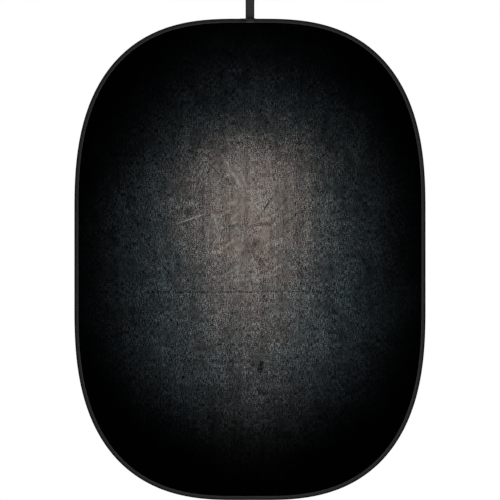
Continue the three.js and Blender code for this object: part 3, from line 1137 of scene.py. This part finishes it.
@dataclass(frozen=True)
class WebbingFinish:
    """Flat black polyester webbing, its middle paler than its selvedges; painted shade darkens it
    towards its sewn ends and in the grooves of its ribs.
    """

    edge: Triple = (0.0055, 0.0055, 0.0057)
    face: Triple = (0.0245, 0.0240, 0.0238)
    rubbed: Triple = (0.075, 0.073, 0.070)
    half_width: float = 0.019
    half_length: float = 0.2365
    # How far from each sewn end the painted shade begins and where it is full.
    dark_end: Pair = (0.052, 0.034)
    uneven: Patches = Patches(1.0, 4, 0.6, to=(-0.15, 0.15), stretch=(24, 60, 1))
    matt: Patches = Patches(120.0, 3, 0.6, to=(0.55, 0.8))

    def build(self) -> Material:
        """Builds the material. The map runs along the strap and then across it."""
        f = Finish(
            "webbing", PatternSpace.FLAT_MAP, Specular_IOR_Level=0.2, Sheen_Weight=0.05,
            Sheen_Roughness=0.4,
        )
        w = f.wiring
        ribs = f.effect(RIBBING, rib=0.0026, thread=0.0017)
        across = f.across()
        middle = w.span(across, self.half_width, self.half_width * 0.62)
        along = w.math("SUBTRACT", w.parts(f.place)[0], self.half_length)
        # Near each sewn end the middle falls to the edge colour: painted shade where the strap goes
        # into the rim.
        starts, ends = (self.half_length - distance for distance in self.dark_end)
        middle = w.times(middle, w.span(w.math("ABSOLUTE", along), starts, ends, (1.0, 0.0)))
        pale = w.math("ADD", middle, f.patches(self.uneven), clamp=True)
        # Painted shade and highlight: the colour follows the ribs' height, darker in their grooves
        # and lighter on their crests.
        rib_relief_shade = w.grey(w.span(ribs["height"], 0.0, 1.1, (0.72, 1.25)))
        base = w.shaded(w.mix(pale, self.edge, self.face), rib_relief_shade)
        selvedge = w.times(w.span(across, self.half_width * 0.93, self.half_width), 0.22)
        worn = w.mix(selvedge, base, self.rubbed)
        dust = f.effect(DUST, amount=0.7)
        f.colour(w.mix(w.times(dust["haze"], 0.25), worn, self.rubbed))
        f.rough(f.patches(self.matt))
        f.relief((ribs["height"], 0.7, 0.0005))
        return f.material


@dataclass(frozen=True)
class ThreadFinish:
    """Twisted black polyester sewing thread, coloured with painted sheen: paler than black overall
    and lighter along the twist's crests.
    """

    dark: Triple = (0.026, 0.026, 0.027)
    # The light colour is raised well above black to stand for the thread's sheen: painted sheen.
    light: Triple = (0.088, 0.086, 0.083)
    twist_pitch: float = 0.0008
    fuzz: Patches = Patches(900.0, 3, 0.6)

    def build(self) -> Material:
        """Builds the material."""
        f = Finish("sewing_thread", PatternSpace.FLAT_MAP, Specular_IOR_Level=0.35)
        w = f.wiring
        parts = w.parts(f.place)
        slant = w.fused(parts[1], 0.8, parts[0])
        twist = w.math("SINE", w.times(slant, 2 * math.pi / self.twist_pitch))
        fuzz = self.fuzz.noise(w, f.place)
        # Painted sheen along the twist's crests, mixed with the fibres' own uneven tone.
        f.colour(w.mix(w.span(w.fused(twist, 0.25, fuzz), 0.2, 0.85), self.dark, self.light))
        f.rough(w.span(fuzz, 0.3, 0.7, (0.45, 0.7)))
        f.relief((w.fused(twist, 0.6, fuzz), 0.6, 0.00012))
        return f.material


@dataclass(frozen=True)
class SpringSteelFinish:
    """Bright tempered strip steel with rolling lines and a few spots of rust bloom."""

    name: str
    space: PatternSpace
    bright: Triple = (0.42, 0.43, 0.45)
    blued: Triple = (0.20, 0.21, 0.24)
    rust: Triple = (0.16, 0.075, 0.035)
    rolling: Patches = Patches(1.0, 3, 0.6, stretch=(9, 2600, 2600))
    temper: Patches = Patches(1.0, 3, 0.55, stretch=(7, 40, 40))
    bloom: Patches = Patches(55.0, 5, 0.7, 0.60, 0.70)

    def build(self) -> Material:
        """Builds the material."""
        f = Finish(self.name, self.space, Metallic=1.0)
        w = f.wiring
        lines = self.rolling.noise(w, f.place)
        shade = w.fused(lines, 0.4, self.temper.noise(w, f.place))
        base = w.mix(w.span(shade, 0.55, 0.85), self.blued, self.bright)
        bloom = w.times(f.patches(self.bloom), 0.7)
        f.colour(w.mix(bloom, base, self.rust))
        f.rough(w.fused(bloom, 0.4, w.span(lines, 0.3, 0.7, (0.24, 0.42))))
        f.relief((lines, 0.25, 0.00008))
        return f.material


@dataclass(frozen=True)
class LabelSatinFinish:
    """Blank off-white satin label, with a woven edge and a little soiling."""

    clean: Triple = (0.66, 0.65, 0.61)
    soiled: Triple = (0.47, 0.445, 0.40)
    soil: Patches = Patches(85.0, 5, 0.65, 0.42, 0.72)

    def build(self) -> Material:
        """Builds the material."""
        f = Finish(
            "label_satin", PatternSpace.FLAT_MAP, Specular_IOR_Level=0.45, Sheen_Weight=0.15
        )
        w = f.wiring
        ribs = f.effect(RIBBING, rib=0.0009, thread=0.0006)
        soil = f.patches(self.soil)
        base = w.mix(soil, self.clean, self.soiled)
        f.colour(w.shaded(base, w.grey(w.span(ribs["shade"], 0.3, 0.7, (0.93, 1.05)))))
        f.rough(w.span(soil, 0.0, 1.0, (0.38, 0.6)))
        f.relief((ribs["height"], 0.45, 0.00015))
        return f.material


# ---------------------------------------------------------------- the sewn panel


@dataclass
class Panel:
    """The sewn panel: two cloths, folded binding tape, seam, steel band and label."""

    outline: PanelOutline
    relief: ClothRelief
    stitches: StitchMaker
    rows: int = 360
    cell: float = 8 * MM
    cloth_inset: float = 8 * MM
    cloth_thickness: float = 0.6 * MM
    cloth_out: float = 0.7 * MM
    tape_thickness: float = 0.8 * MM
    tape_cell: float = 4.4 * MM
    seam_inset: float = 15.2 * MM
    seam_pitch: float = 3.9 * MM
    seam_out: float = 2.24 * MM
    scallop: float = 0.35 * MM
    stitch_lean: float = 0.07
    lap_span: Pair = (-41.5 * MM, 26 * MM)
    lap_rise: float = 1.1 * MM
    lap_cell: float = 1.5 * MM
    fold_at: float = 1.6 * MM
    fold_width: float = 1.3 * MM
    fold_rise: float = 0.12 * MM
    darned: Pair = (2.6 * MM, 14 * MM)
    darned_row: float = 1.9 * MM
    darned_half: float = 18.5 * MM
    darned_lean: float = 0.35
    band_inset: float = 3.2 * MM
    band_width: float = 8 * MM
    band_thickness: float = 1.2 * MM
    band_gap: float = 1 * MM
    band_cell: float = 9 * MM
    label_size: Pair = (38 * MM, 26 * MM)
    label_drop: float = 150 * MM
    label_inset: float = 16.4 * MM
    label_thickness: float = 0.35 * MM
    label_lift: float = 0.65 * MM
    label_curl: float = 1.7 * MM
    label_wave: float = 0.25 * MM
    profile: tuple[Pair, ...] = (
        (1.80, 17.4), (1.80, 16.2), (1.80, 14.9), (1.80, 13.6), (1.85, 12.4), (2.75, 10.4),
        (3.95, 8.4), (5.10, 6.55), (5.58, 5.2), (5.66, 3.4), (5.62, 1.75), (5.30, 0.90),
        (4.60, 0.42), (2.60, 0.26), (0.0, 0.20),
    )
    tree: KDTree | None = None
    edge_along: np.ndarray = field(default_factory=lambda: np.zeros(0))

    def nearest_edge(self, flat: np.ndarray) -> tuple[np.ndarray, np.ndarray]:
        """For points of the panel: distance along the rim, and distance inside its edge."""
        if self.tree is None:
            total = self.outline.perimeter()
            self.edge_along = np.linspace(0, total, 3000, endpoint=False)
            points, _, _ = self.outline.at(self.edge_along)
            self.tree = KDTree(len(points))
            for index, (x, height) in enumerate(points):
                self.tree.insert((x, height, 0), index)
            self.tree.balance()
        found = [self.tree.find((x, height, 0))[1:] for x, height in flat]
        index = np.array([f[0] for f in found])
        return self.edge_along[index], np.array([f[1] for f in found])

    def cloth_out_at(self, flat: np.ndarray, face: Face) -> np.ndarray:
        """How far a cloth's middle stands in front of the panel's middle plane."""
        along, depth = self.nearest_edge(flat)
        sway = self.relief.shared_sway(flat[:, 0], flat[:, 1], depth)
        gathers = self.relief.puckers(along, depth, face)
        return sway + face.value * (self.cloth_out + gathers)

    def cloth_grid(self, strip: FoldStrip, across: np.ndarray, up: np.ndarray) -> np.ndarray:
        """Lays grid places from -1 to 1 onto a strip of the flat cloth.

        Args:
            strip: the strip.
            across: places from the strip's inner side to its outer one.
            up: places from the bottom to the top.

        Returns:
            (x, height) pairs.
        """
        rise = np.sin(up * math.pi / 2)
        share = (across + 1) / 2
        low, high = strip.span
        if strip.place is Place.OUTER:
            height = rise * self.outline.half_height_at(np.array([low]), self.cloth_inset)
            reach = self.outline.half_width_at(height, self.cloth_inset)
            x = low + share * (np.maximum(reach, low) - low)
        else:
            x = low + share * (high - low)
            height = rise * self.outline.half_height_at(x, self.cloth_inset)
        return np.stack([strip.side.value * x, height], 1)

    def cloth_strip(self, name: str, strip: FoldStrip, face: Face) -> Piece:
        low, high = strip.span
        widest = float(self.outline.half_width_at(np.array([0.0]), self.cloth_inset)[0])
        width = min(high, widest) - low
        piece = Bench.grid(name, max(8, round(width / self.cell)), self.rows)
        points = Bench.points(piece)
        flat = self.cloth_grid(strip, points[:, 0], points[:, 1])
        places = self.outline.world(flat, self.cloth_out_at(flat, face))
        Bench.lay(piece, places, flat)
        Bench.merge(piece)
        Bench.finish(piece, self.cloth_thickness)
        return piece

    def declare_cloth(self, piece: Piece, strip: FoldStrip, holder: str) -> None:
        """Works out the width and area of the flat cut the strip of cloth was made from, and keeps
        neither.
        """
        low, high = strip.span
        heights = np.linspace(-1, 1, 801)
        tall = 2 * float(self.outline.half_height_at(np.array([low]), self.cloth_inset)[0])
        if strip.place is Place.OUTER:
            reach = self.outline.half_width_at(heights * tall / 2, self.cloth_inset)
            widths = np.maximum(reach - low, 0)
            width, area = float(widths.max()), area_under(widths, heights * tall / 2)
        else:
            x = np.linspace(low, high, 101)
            width = high - low
            area = area_under(2 * self.outline.half_height_at(x, self.cloth_inset), x)
        area = min(area, width * tall)

    def rim_runs(self, strip: FoldStrip, gap: float = 0) -> list[Pair]:
        """The stretches of the rim in a strip, as distances along it, clockwise.

        Args:
            strip: the strip.
            gap: a gap to leave at the bottom middle.
        """
        total = self.outline.perimeter()
        low, high = strip.span
        near = self.outline.along_top(low)
        if strip.place is Place.OUTER:
            run = [(near, total / 2 - near)]
        else:
            far = self.outline.along_top(high)
            bottom = total / 2 - (near if low else gap / 2)
            run = [(near, far), (total / 2 - far, bottom)]
        if strip.side is Side.LEFT:
            run = [(total - b, total - a) for a, b in run]
        return run

    def sweep(
        self,
        name: str,
        runs: list[Pair],
        profile: np.ndarray,
        wrinkled: bool,
        cell: float,
    ) -> Piece:
        """Sweeps an open cross-section along stretches of the rim.

        Args:
            name: the new object's name.
            runs: stretches of the rim.
            profile: (out, inset) points of the cross-section.
            wrinkled: whether the surface has the tape's wrinkles.
            cell: the length of one step along the rim.

        Returns:
            One sheet, with its map along the rim and across the section.
        """
        across = lengths_along(profile)
        across -= across[-1] / 2
        made = []
        for start, end in runs:
            piece = Bench.grid(name, max(4, round((end - start) / cell)), len(profile) - 1)
            grid = Bench.points(piece)
            along = start + (grid[:, 0] + 1) / 2 * (end - start)
            index = np.rint((grid[:, 1] + 1) / 2 * (len(profile) - 1)).astype(int)
            out, inset = profile[index, 0].copy(), profile[index, 1].copy()
            if wrinkled:
                front, rear = (self.relief.tape_wrinkles(along, inset, face) for face in Face)
                out += np.where(out > 0, front, np.where(out < 0, -rear, 0))
                edge = np.isclose(inset, profile[:, 1].max())
                scallop = np.sin(along * 2 * math.pi / self.seam_pitch)
                inset += np.where(edge, self.scallop * scallop, 0)
            point, _, normal = self.outline.at(along)
            flat = point - normal * inset[:, None]
            Bench.lay(piece, self.outline.world(flat, out), np.stack([along, across[index]], 1))
            made.append(piece)
        return Bench.join(name, made)

    def tape_profile(self, rise: float = 0) -> np.ndarray:
        """The folded tape's middle surface, from the front edge round to the rear one."""
        half = np.array(self.profile) * MM
        out, inset = half[:, 0].copy(), half[:, 1].copy()
        half[:, 1] -= rise * smooth(1 - inset / (3 * MM))
        half[:, 0] += rise * smooth(out / (self.profile[0][0] * MM))
        rear = half[::-1][1:] * [-1, 1]
        return np.concatenate([half, rear])

    def tape_strip(self, name: str, strip: FoldStrip) -> Piece:
        """Makes one strip's stretch of the binding tape."""
        runs = self.rim_runs(strip)
        piece = self.sweep(name, runs, self.tape_profile(), True, self.tape_cell)
        return Bench.finish(piece, self.tape_thickness)

    def seam_strip(self, name: str, strip: FoldStrip) -> Piece:
        """Makes the stitches of one strip, on both faces of the tape."""
        rows = []
        for face in Face:
            for start, end in self.rim_runs(strip):
                first = math.ceil(start / self.seam_pitch)
                along = np.arange(first, end / self.seam_pitch) * self.seam_pitch
                point, tangent, normal = self.outline.at(along)
                inset = np.full(len(along), self.seam_inset)
                wrinkle = self.relief.tape_wrinkles(along, inset, face)
                flat = point - normal * inset[:, None]
                left, right = self.lap_span
                on_lap = (flat[:, 1] > 0) & (flat[:, 0] > left) & (flat[:, 0] < right)
                out = self.seam_out + wrinkle + np.where(on_lap, self.lap_rise, 0)
                lean = self.stitch_lean * np.where(np.arange(len(along)) % 2, 1, -1)
                way = tangent + lean[:, None] * normal
                rows.append((
                    self.outline.world(flat, face.value * out),
                    np.stack([way[:, 0], np.zeros(len(along)), way[:, 1]], 1),
                    np.tile([0.0, -face.value, 0.0], (len(along), 1)),
                ))
        return self.stitches.sew(name, rows)

    def band_strip(self, name: str, strip: FoldStrip) -> Piece:
        """Makes one strip's stretch of the steel band, hidden in the tape's fold."""
        half = self.band_width / 2
        section = np.array([(out, self.band_inset) for out in (half, 0, -half)])
        runs = self.rim_runs(strip, self.band_gap)
        piece = self.sweep(name, runs, section, False, self.band_cell)
        return Bench.finish(piece, self.band_thickness, 0.2 * MM, 1)

    def lap(self, name: str) -> Piece:
        """Makes the end of the tape that laps over its start, with its end folded under."""
        left, right = self.lap_span
        section = self.tape_profile(self.lap_rise)
        run = (self.outline.perimeter() + left, self.outline.perimeter() + right)
        piece = self.sweep(name, [run], section, False, self.lap_cell)
        points = Bench.points(piece)
        fold = np.exp(-(((points[:, 0] - left - self.fold_at) / self.fold_width) ** 2))
        from_middle = points[:, 1] - self.outline.middle_y
        points[:, 1] += np.sign(from_middle) * self.fold_rise * fold
        piece.data.vertices.foreach_set("co", points.ravel())
        return Bench.finish(piece, self.tape_thickness, 0.18 * MM, 2)

    def darning(self, name: str) -> Piece:
        """Makes the rows of stitches over the lap's rounded front, where the strap is sewn in."""
        front = self.tape_profile(self.lap_rise)[: len(self.profile)][::-1]
        insets = np.arange(self.darned[0], self.darned[1], self.darned_row)
        outs = np.interp(insets, front[:, 1], front[:, 0]) + self.tape_thickness / 2 + 0.1 * MM
        slopes = np.gradient(outs, insets)
        rows = []
        for number, (inset, out, slope) in enumerate(zip(insets, outs, slopes)):
            pitch = self.seam_pitch * 0.9
            x = np.arange(-self.darned_half, self.darned_half, pitch) + (number % 2) * pitch / 2
            point, tangent, normal = self.outline.at(np.mod(x, self.outline.perimeter()))
            lean = self.darned_lean * np.where((np.arange(len(x)) + number) % 2, 1, -1)
            way = tangent + lean[:, None] * normal
            rows.append((
                self.outline.world(point - normal * inset, np.full(len(x), out)),
                np.stack([way[:, 0], lean * slope, way[:, 1]], 1),
                np.stack([slope * normal[:, 0], np.full(len(x), -1.0), slope * normal[:, 1]], 1),
            ))
        return self.stitches.sew(name, rows)

    def label(self, name: str) -> Piece:
        """Makes the blank satin label, sewn in at the tape and loose at its other end."""
        width, height = self.label_size
        right, drop = self.outline.half_width - self.label_inset, self.label_drop
        piece = Bench.grid(name, 24, 16)
        grid = Bench.points(piece)
        share = (1 - grid[:, 0]) / 2
        flat = np.stack([right - share * width, -drop - height / 2 + grid[:, 1] * height / 2], 1)
        curl = self.label_curl * smooth((share - 0.25) / 0.75) * (0.75 + 0.25 * grid[:, 1])
        wave = self.label_wave * (1 + np.sin(grid[:, 1] * 2.4 + share * 3)) * share
        out = self.cloth_out_at(flat, Face.REAR) - self.label_lift - curl - wave
        Bench.lay(piece, self.outline.world(flat, out), flat)
        return Bench.finish(piece, self.label_thickness)


# ---------------------------------------------------------------- the hanging strap


@dataclass
class HangingStrap:
    """One strip of webbing: sewn tail, up, round the hook, down, sewn tail."""

    stitches: StitchMaker
    half_width: float = 19 * MM
    thickness: float = 1.5 * MM
    layer: float = 0.9 * MM
    loop_radius: float = 18.75 * MM
    loop_centre: float = -18 * MM
    taper: float = math.radians(12)
    tail_end: float = -219 * MM
    step_low: float = -212 * MM
    step_high: float = -205.8 * MM
    step: float = 3.8 * MM
    bend_low: float = -198.2 * MM
    bend_high: float = -182 * MM
    columns: int = 14
    samples: int = 420
    turn_samples: int = 90
    easing_rounds: int = 60
    free_from: float = -196 * MM
    flat_below: float = -170 * MM
    eases_over: float = 30 * MM
    stitch_pitch: float = 3.4 * MM
    selvedge_cup: float = 0.22 * MM
    rounding: float = 0.42 * MM

    def path(self) -> np.ndarray:
        """The webbing's middle line as (y, z) points, evenly spaced, front tail first."""
        y, r = self.layer, self.loop_radius
        meets = (y * math.cos(self.taper) - r) / math.sin(self.taper) + self.loop_centre
        turn = np.linspace(-self.taper, math.pi + self.taper, self.turn_samples)
        arc = np.stack([r * np.cos(turn), self.loop_centre + r * np.sin(turn)], 1)
        tail = (
            (self.step, self.tail_end), (self.step, self.step_low), (0, self.step_high), (0, meets),
        )
        rise = [(y - back, z) for back, z in tail]
        fall = [(-y - back, z) for back, z in tail[::-1]]
        points = np.concatenate([rise, arc, fall])
        length = lengths_along(points)
        even = np.linspace(0, length[-1], self.samples)
        line = np.stack([np.interp(even, length, points[:, k]) for k in (0, 1)], 1)
        return self.eased(line)

    def eased(self, line: np.ndarray) -> np.ndarray:
        """Rounds the line's corners, more in the loop than at the sewn tails."""
        for _ in range(self.easing_rounds):
            middle = (line[:-2] + line[2:]) / 2
            free = smooth((line[1:-1, 1] - self.free_from) / self.eases_over)[:, None]
            share = 0.5 * (0.04 + 0.96 * free)
            line[1:-1] += (middle - line[1:-1]) * share
        return line

    def webbing(self, name: str) -> Piece:
        """Makes the whole strap as one strip."""
        line = self.path()
        length = lengths_along(line)
        piece = Bench.grid(name, self.columns, len(line) - 1)
        grid = Bench.points(piece)
        index = np.rint((grid[:, 1] + 1) / 2 * (len(line) - 1)).astype(int)
        flare = 1.012 + 0.012 * np.sin(length[index] * 61 + 1.1) * np.sin(length[index] * 23)
        x = grid[:, 0] * self.half_width * flare
        cupped = smooth((line[index, 1] - self.flat_below) / self.eases_over)
        cup = self.selvedge_cup * grid[:, 0] ** 2 * cupped
        side = np.sign(line[index, 0])
        places = np.stack([x, line[index, 0] + side * cup, line[index, 1]], 1)
        Bench.lay(piece, places, np.stack([length[index], x], 1))
        return Bench.finish(piece, self.thickness, self.rounding, 2)

    def row(self, ends: tuple[Pair, Pair], y: float, facing: int) -> StitchRow:
        """One straight row of stitches on a level face.

        Args:
            ends: the row's two ends, as (x, z).
            y: the face that the stitches lie on.
            facing: -1 for a face that looks forwards, 1 for one that looks back.

        Returns:
            The stitches' middles, directions and outward directions.
        """
        start, end = np.array(ends[0]), np.array(ends[1])
        length = float(np.linalg.norm(end - start))
        count = max(1, round(length / self.stitch_pitch))
        share = (np.arange(count) + 0.5) / count
        place = start + share[:, None] * (end - start)
        way = (end - start) / length
        centres = np.stack([place[:, 0], np.full(count, y), place[:, 1]], 1)
        return (
            centres,
            np.tile([way[0], 0.0, way[1]], (count, 1)),
            np.tile([0.0, float(facing), 0.0], (count, 1)),
        )

    def tack(self, name: str, half: float, top: float, bottom: float, faces: Pair) -> Piece:
        """Makes a boxed cross of stitches that shows on two opposite faces.

        Args:
            name: the new object's name.
            half: half the box's width.
            top: the box's top.
            bottom: the box's bottom.
            faces: y of the forward face and of the rear one.
        """
        corners = [(-half, top), (half, top), (half, bottom), (-half, bottom)]
        lines = [(corners[k], corners[(k + 1) % 4]) for k in range(4)]
        lines += [(corners[0], corners[2]), (corners[1], corners[3])]
        inner, below = half - 2.2 * MM, top - 1.2 * MM
        lines += [((-inner, below), (inner, below))]
        rows = [self.row(ends, y, side) for ends in lines for y, side in zip(faces, (-1, 1))]
        return self.stitches.sew(name, rows)


# ---------------------------------------------------------------- studio


@dataclass(frozen=True)
class Lamp:
    """One very soft sun lamp, its tilt and turn in degrees."""

    name: str
    power: float
    tilt: float
    turn: float
    softness: float = 48


@dataclass(frozen=True)
class Studio:
    """A pale floor well below the hanging panel, soft light and the camera."""

    frame_size: float = 2.1817
    lens: float = 200
    sensor: float = 36
    eye: Pair = (0.0002, -1.2090)
    floor_z: float = -2.66
    floor_radius: float = 3.3
    floor_edges: int = 128
    floor_colours: tuple[Triple, Triple] = ((0.815, 0.815, 0.805), (0.83, 0.83, 0.82))
    world_light: float = 0.62
    lamps: tuple[Lamp, ...] = (
        Lamp("key", 0.95, 52, -38),
        Lamp("fill", 0.28, 70, 48),
        Lamp("rear", 0.28 * 1.6, 55, 205),
    )

    def camera(self) -> None:
        """Level, square to the printed face, far enough away to show it without slant."""
        data = bpy.data.cameras.new("camera")
        data.lens, data.sensor_width = self.lens, self.sensor
        data.clip_start, data.clip_end = 0.1, 100
        camera = bpy.data.objects.new("camera", data)
        bpy.context.scene.collection.objects.link(camera)
        distance = self.frame_size * self.lens / self.sensor
        camera.location = (self.eye[0], PanelOutline().middle_y - distance, self.eye[1])
        camera.rotation_euler = (math.pi / 2, 0, 0)
        bpy.context.scene.camera = camera

    def lights(self) -> None:
        """One broad key from the upper left, a weaker fill and a light from behind."""
        for lamp in self.lamps:
            data = bpy.data.lights.new(lamp.name, "SUN")
            data.energy, data.angle = lamp.power, math.radians(lamp.softness)
            light = bpy.data.objects.new(lamp.name, data)
            light.rotation_euler = (math.radians(lamp.tilt), 0, math.radians(lamp.turn))
            bpy.context.scene.collection.objects.link(light)

    def world(self) -> None:
        """A white surround that lights the cloth less than it shows."""
        world = bpy.data.worlds.new("white_surround")
        world.use_nodes = True
        bpy.context.scene.world = world
        w = Wiring(world.node_tree)
        background = world.node_tree.nodes["Background"]
        w.put(background.inputs["Color"], (1.0, 1.0, 1.0))
        seen = w.node("LightPath").outputs["Is Camera Ray"]
        w.put(background.inputs["Strength"], w.ramp(seen, 0.0, 1.0, (self.world_light, 1.0)))

    def floor(self) -> None:
        """A plain pale round floor."""
        Bench.clear()
        bpy.ops.mesh.primitive_circle_add(
            vertices=self.floor_edges, radius=self.floor_radius, fill_type="NGON",
            location=(0, 0, self.floor_z),
        )
        floor = bpy.context.object
        floor.name = "floor"
        finish = Finish("pale_floor", PatternSpace.OBJECT, Roughness=0.9, Specular_IOR_Level=0.1)
        finish.colour(finish.wiring.mix(finish.patches(Patches(3.0, 3)), *self.floor_colours))
        floor.data.materials.append(finish.material)

    def build(self) -> None:
        """Sets the whole studio up."""
        view = bpy.context.scene.view_settings
        view.view_transform, view.look, view.exposure, view.gamma = "Standard", "None", 0, 1
        self.camera()
        self.lights()
        self.world()
        self.floor()


# ---------------------------------------------------------------- putting it together


class Backdrop:
    """Builds every piece and dresses it, and ties the stitching at the strap and the label to
    bodies.
    """

    def __init__(self) -> None:
        """Makes the finishes and the shared stitch."""
        self.printed = PrintedClothFinish().build()
        self.lining = LiningClothFinish().build()
        self.tape = BindingTapeFinish().build()
        self.sewn_tape = BindingTapeFinish("sewn_over_tape", 0.85).build()
        self.webbing = WebbingFinish().build()
        self.thread = ThreadFinish().build()
        self.band_steel = SpringSteelFinish("band_steel", PatternSpace.FLAT_MAP).build()
        self.fitting_steel = SpringSteelFinish("fitting_steel", PatternSpace.OBJECT).build()
        self.satin = LabelSatinFinish().build()
        stitches = StitchMaker(ThreadShape())
        self.panel = Panel(PanelOutline(), ClothRelief(), stitches)
        self.strap = HangingStrap(stitches)

    def dress(
        self, piece: Piece, material: Material
    ) -> Piece:
        """Gives a piece its material and logs it."""
        piece.data.materials.clear()
        piece.data.materials.append(material)
        LOG.info("%s: %d faces, %s", piece.name, len(piece.data.polygons), material.name)
        return piece

    def strip_pieces(self, strip: FoldStrip) -> None:
        """Builds every layer of one strip of the panel."""
        holder = f"tape_{strip.name}"
        tape = self.dress(self.panel.tape_strip(holder, strip), self.tape)
        for name, face, material, layer in (
            (f"printed_cloth_{strip.name}", Face.FRONT, self.printed, "front_cloth"),
            (f"lining_cloth_{strip.name}", Face.REAR, self.lining, "rear_cloth"),
        ):
            cloth = self.dress(self.panel.cloth_strip(name, strip, face), material)
            strip.bend(cloth)
            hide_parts(*(f"{layer}_{s}" for s in strip.slices))
            self.panel.declare_cloth(cloth, strip, holder)
        strip.bend(tape)
        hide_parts(*self.rim_nodes("binding", strip))
        band = self.panel.band_strip(f"band_{strip.name}", strip)
        self.dress(band, self.band_steel)
        strip.bend(band)
        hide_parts(*self.band_nodes(strip))
        seam = self.panel.seam_strip(f"seam_{strip.name}", strip)
        strip.bend(self.dress(seam, self.thread))

    def rim_nodes(self, stem: str, strip: FoldStrip) -> list[str]:
        """The CAD nodes of one rim layer that a strip stands for."""
        nodes = []
        for name in strip.slices:
            if name.endswith("outer"):
                nodes.append(f"{stem}_{name}")
            else:
                nodes += [f"{stem}_top_{name}", f"{stem}_bottom_{name}"]
        return nodes

    def band_nodes(self, strip: FoldStrip) -> list[str]:
        """The steel band's CAD nodes that a strip stands for."""
        nodes = self.rim_nodes("spring_band", strip)
        if "spring_band_bottom_centre" in nodes:
            nodes.remove("spring_band_bottom_centre")
            nodes += ["spring_band_bottom_left_end", "spring_band_bottom_right_end"]
        return nodes

    def strap_pieces(self) -> None:
        """Builds the lap, the strap and their stitches."""
        strap = self.strap
        lap = self.dress(self.panel.lap("tape_lap"), self.sewn_tape)
        FoldStrip(Side.LEFT, Place.INNER).bend(lap)
        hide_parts("binding_lap")
        webbing = self.dress(strap.webbing("hanging_webbing"), self.webbing)
        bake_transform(webbing)
        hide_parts("hang_loop", "strap_tail_front", "strap_tail_rear")
        out = strap.layer + strap.thickness / 2
        tape_front = self.panel.outline.middle_y - 3.34 * MM
        for sewn, body in (
            (strap.tack("strap_seam", 16.5 * MM, -212.8 * MM, -217.4 * MM,
                        (tape_front, out - strap.step)), "panel_centre"),
            (self.panel.darning("lap_darning"), "panel_centre"),
            (strap.tack("loop_seam", 15.5 * MM, -112 * MM, -124 * MM, (-out, out)),
             "hanging_strap"),
        ):
            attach(self.dress(sewn, self.thread), body)

    def label_piece(self) -> None:
        """Builds the care label."""
        label = self.dress(self.panel.label("satin_label"), self.satin)
        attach(label, "panel_right_outer")
        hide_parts("care_label")

    def fittings(self, nodes: dict[str, Piece]) -> None:
        """Dresses the splice's parts, whose CAD shapes are shown as they are."""
        for name in ("splice_sleeve", "splice_rivet_left", "splice_rivet_right"):
            self.dress(nodes[name], self.fitting_steel)


def main() -> None:
    """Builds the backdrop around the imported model."""
    logging.basicConfig(level=logging.INFO, format="%(name)s: %(message)s")
    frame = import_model()
    Studio().build()
    backdrop = Backdrop()
    for strip in STRIPS:
        backdrop.strip_pieces(strip)
    backdrop.strap_pieces()
    backdrop.label_piece()
    backdrop.fittings(frame["nodes"])


if __name__ == "__main__":
    main()
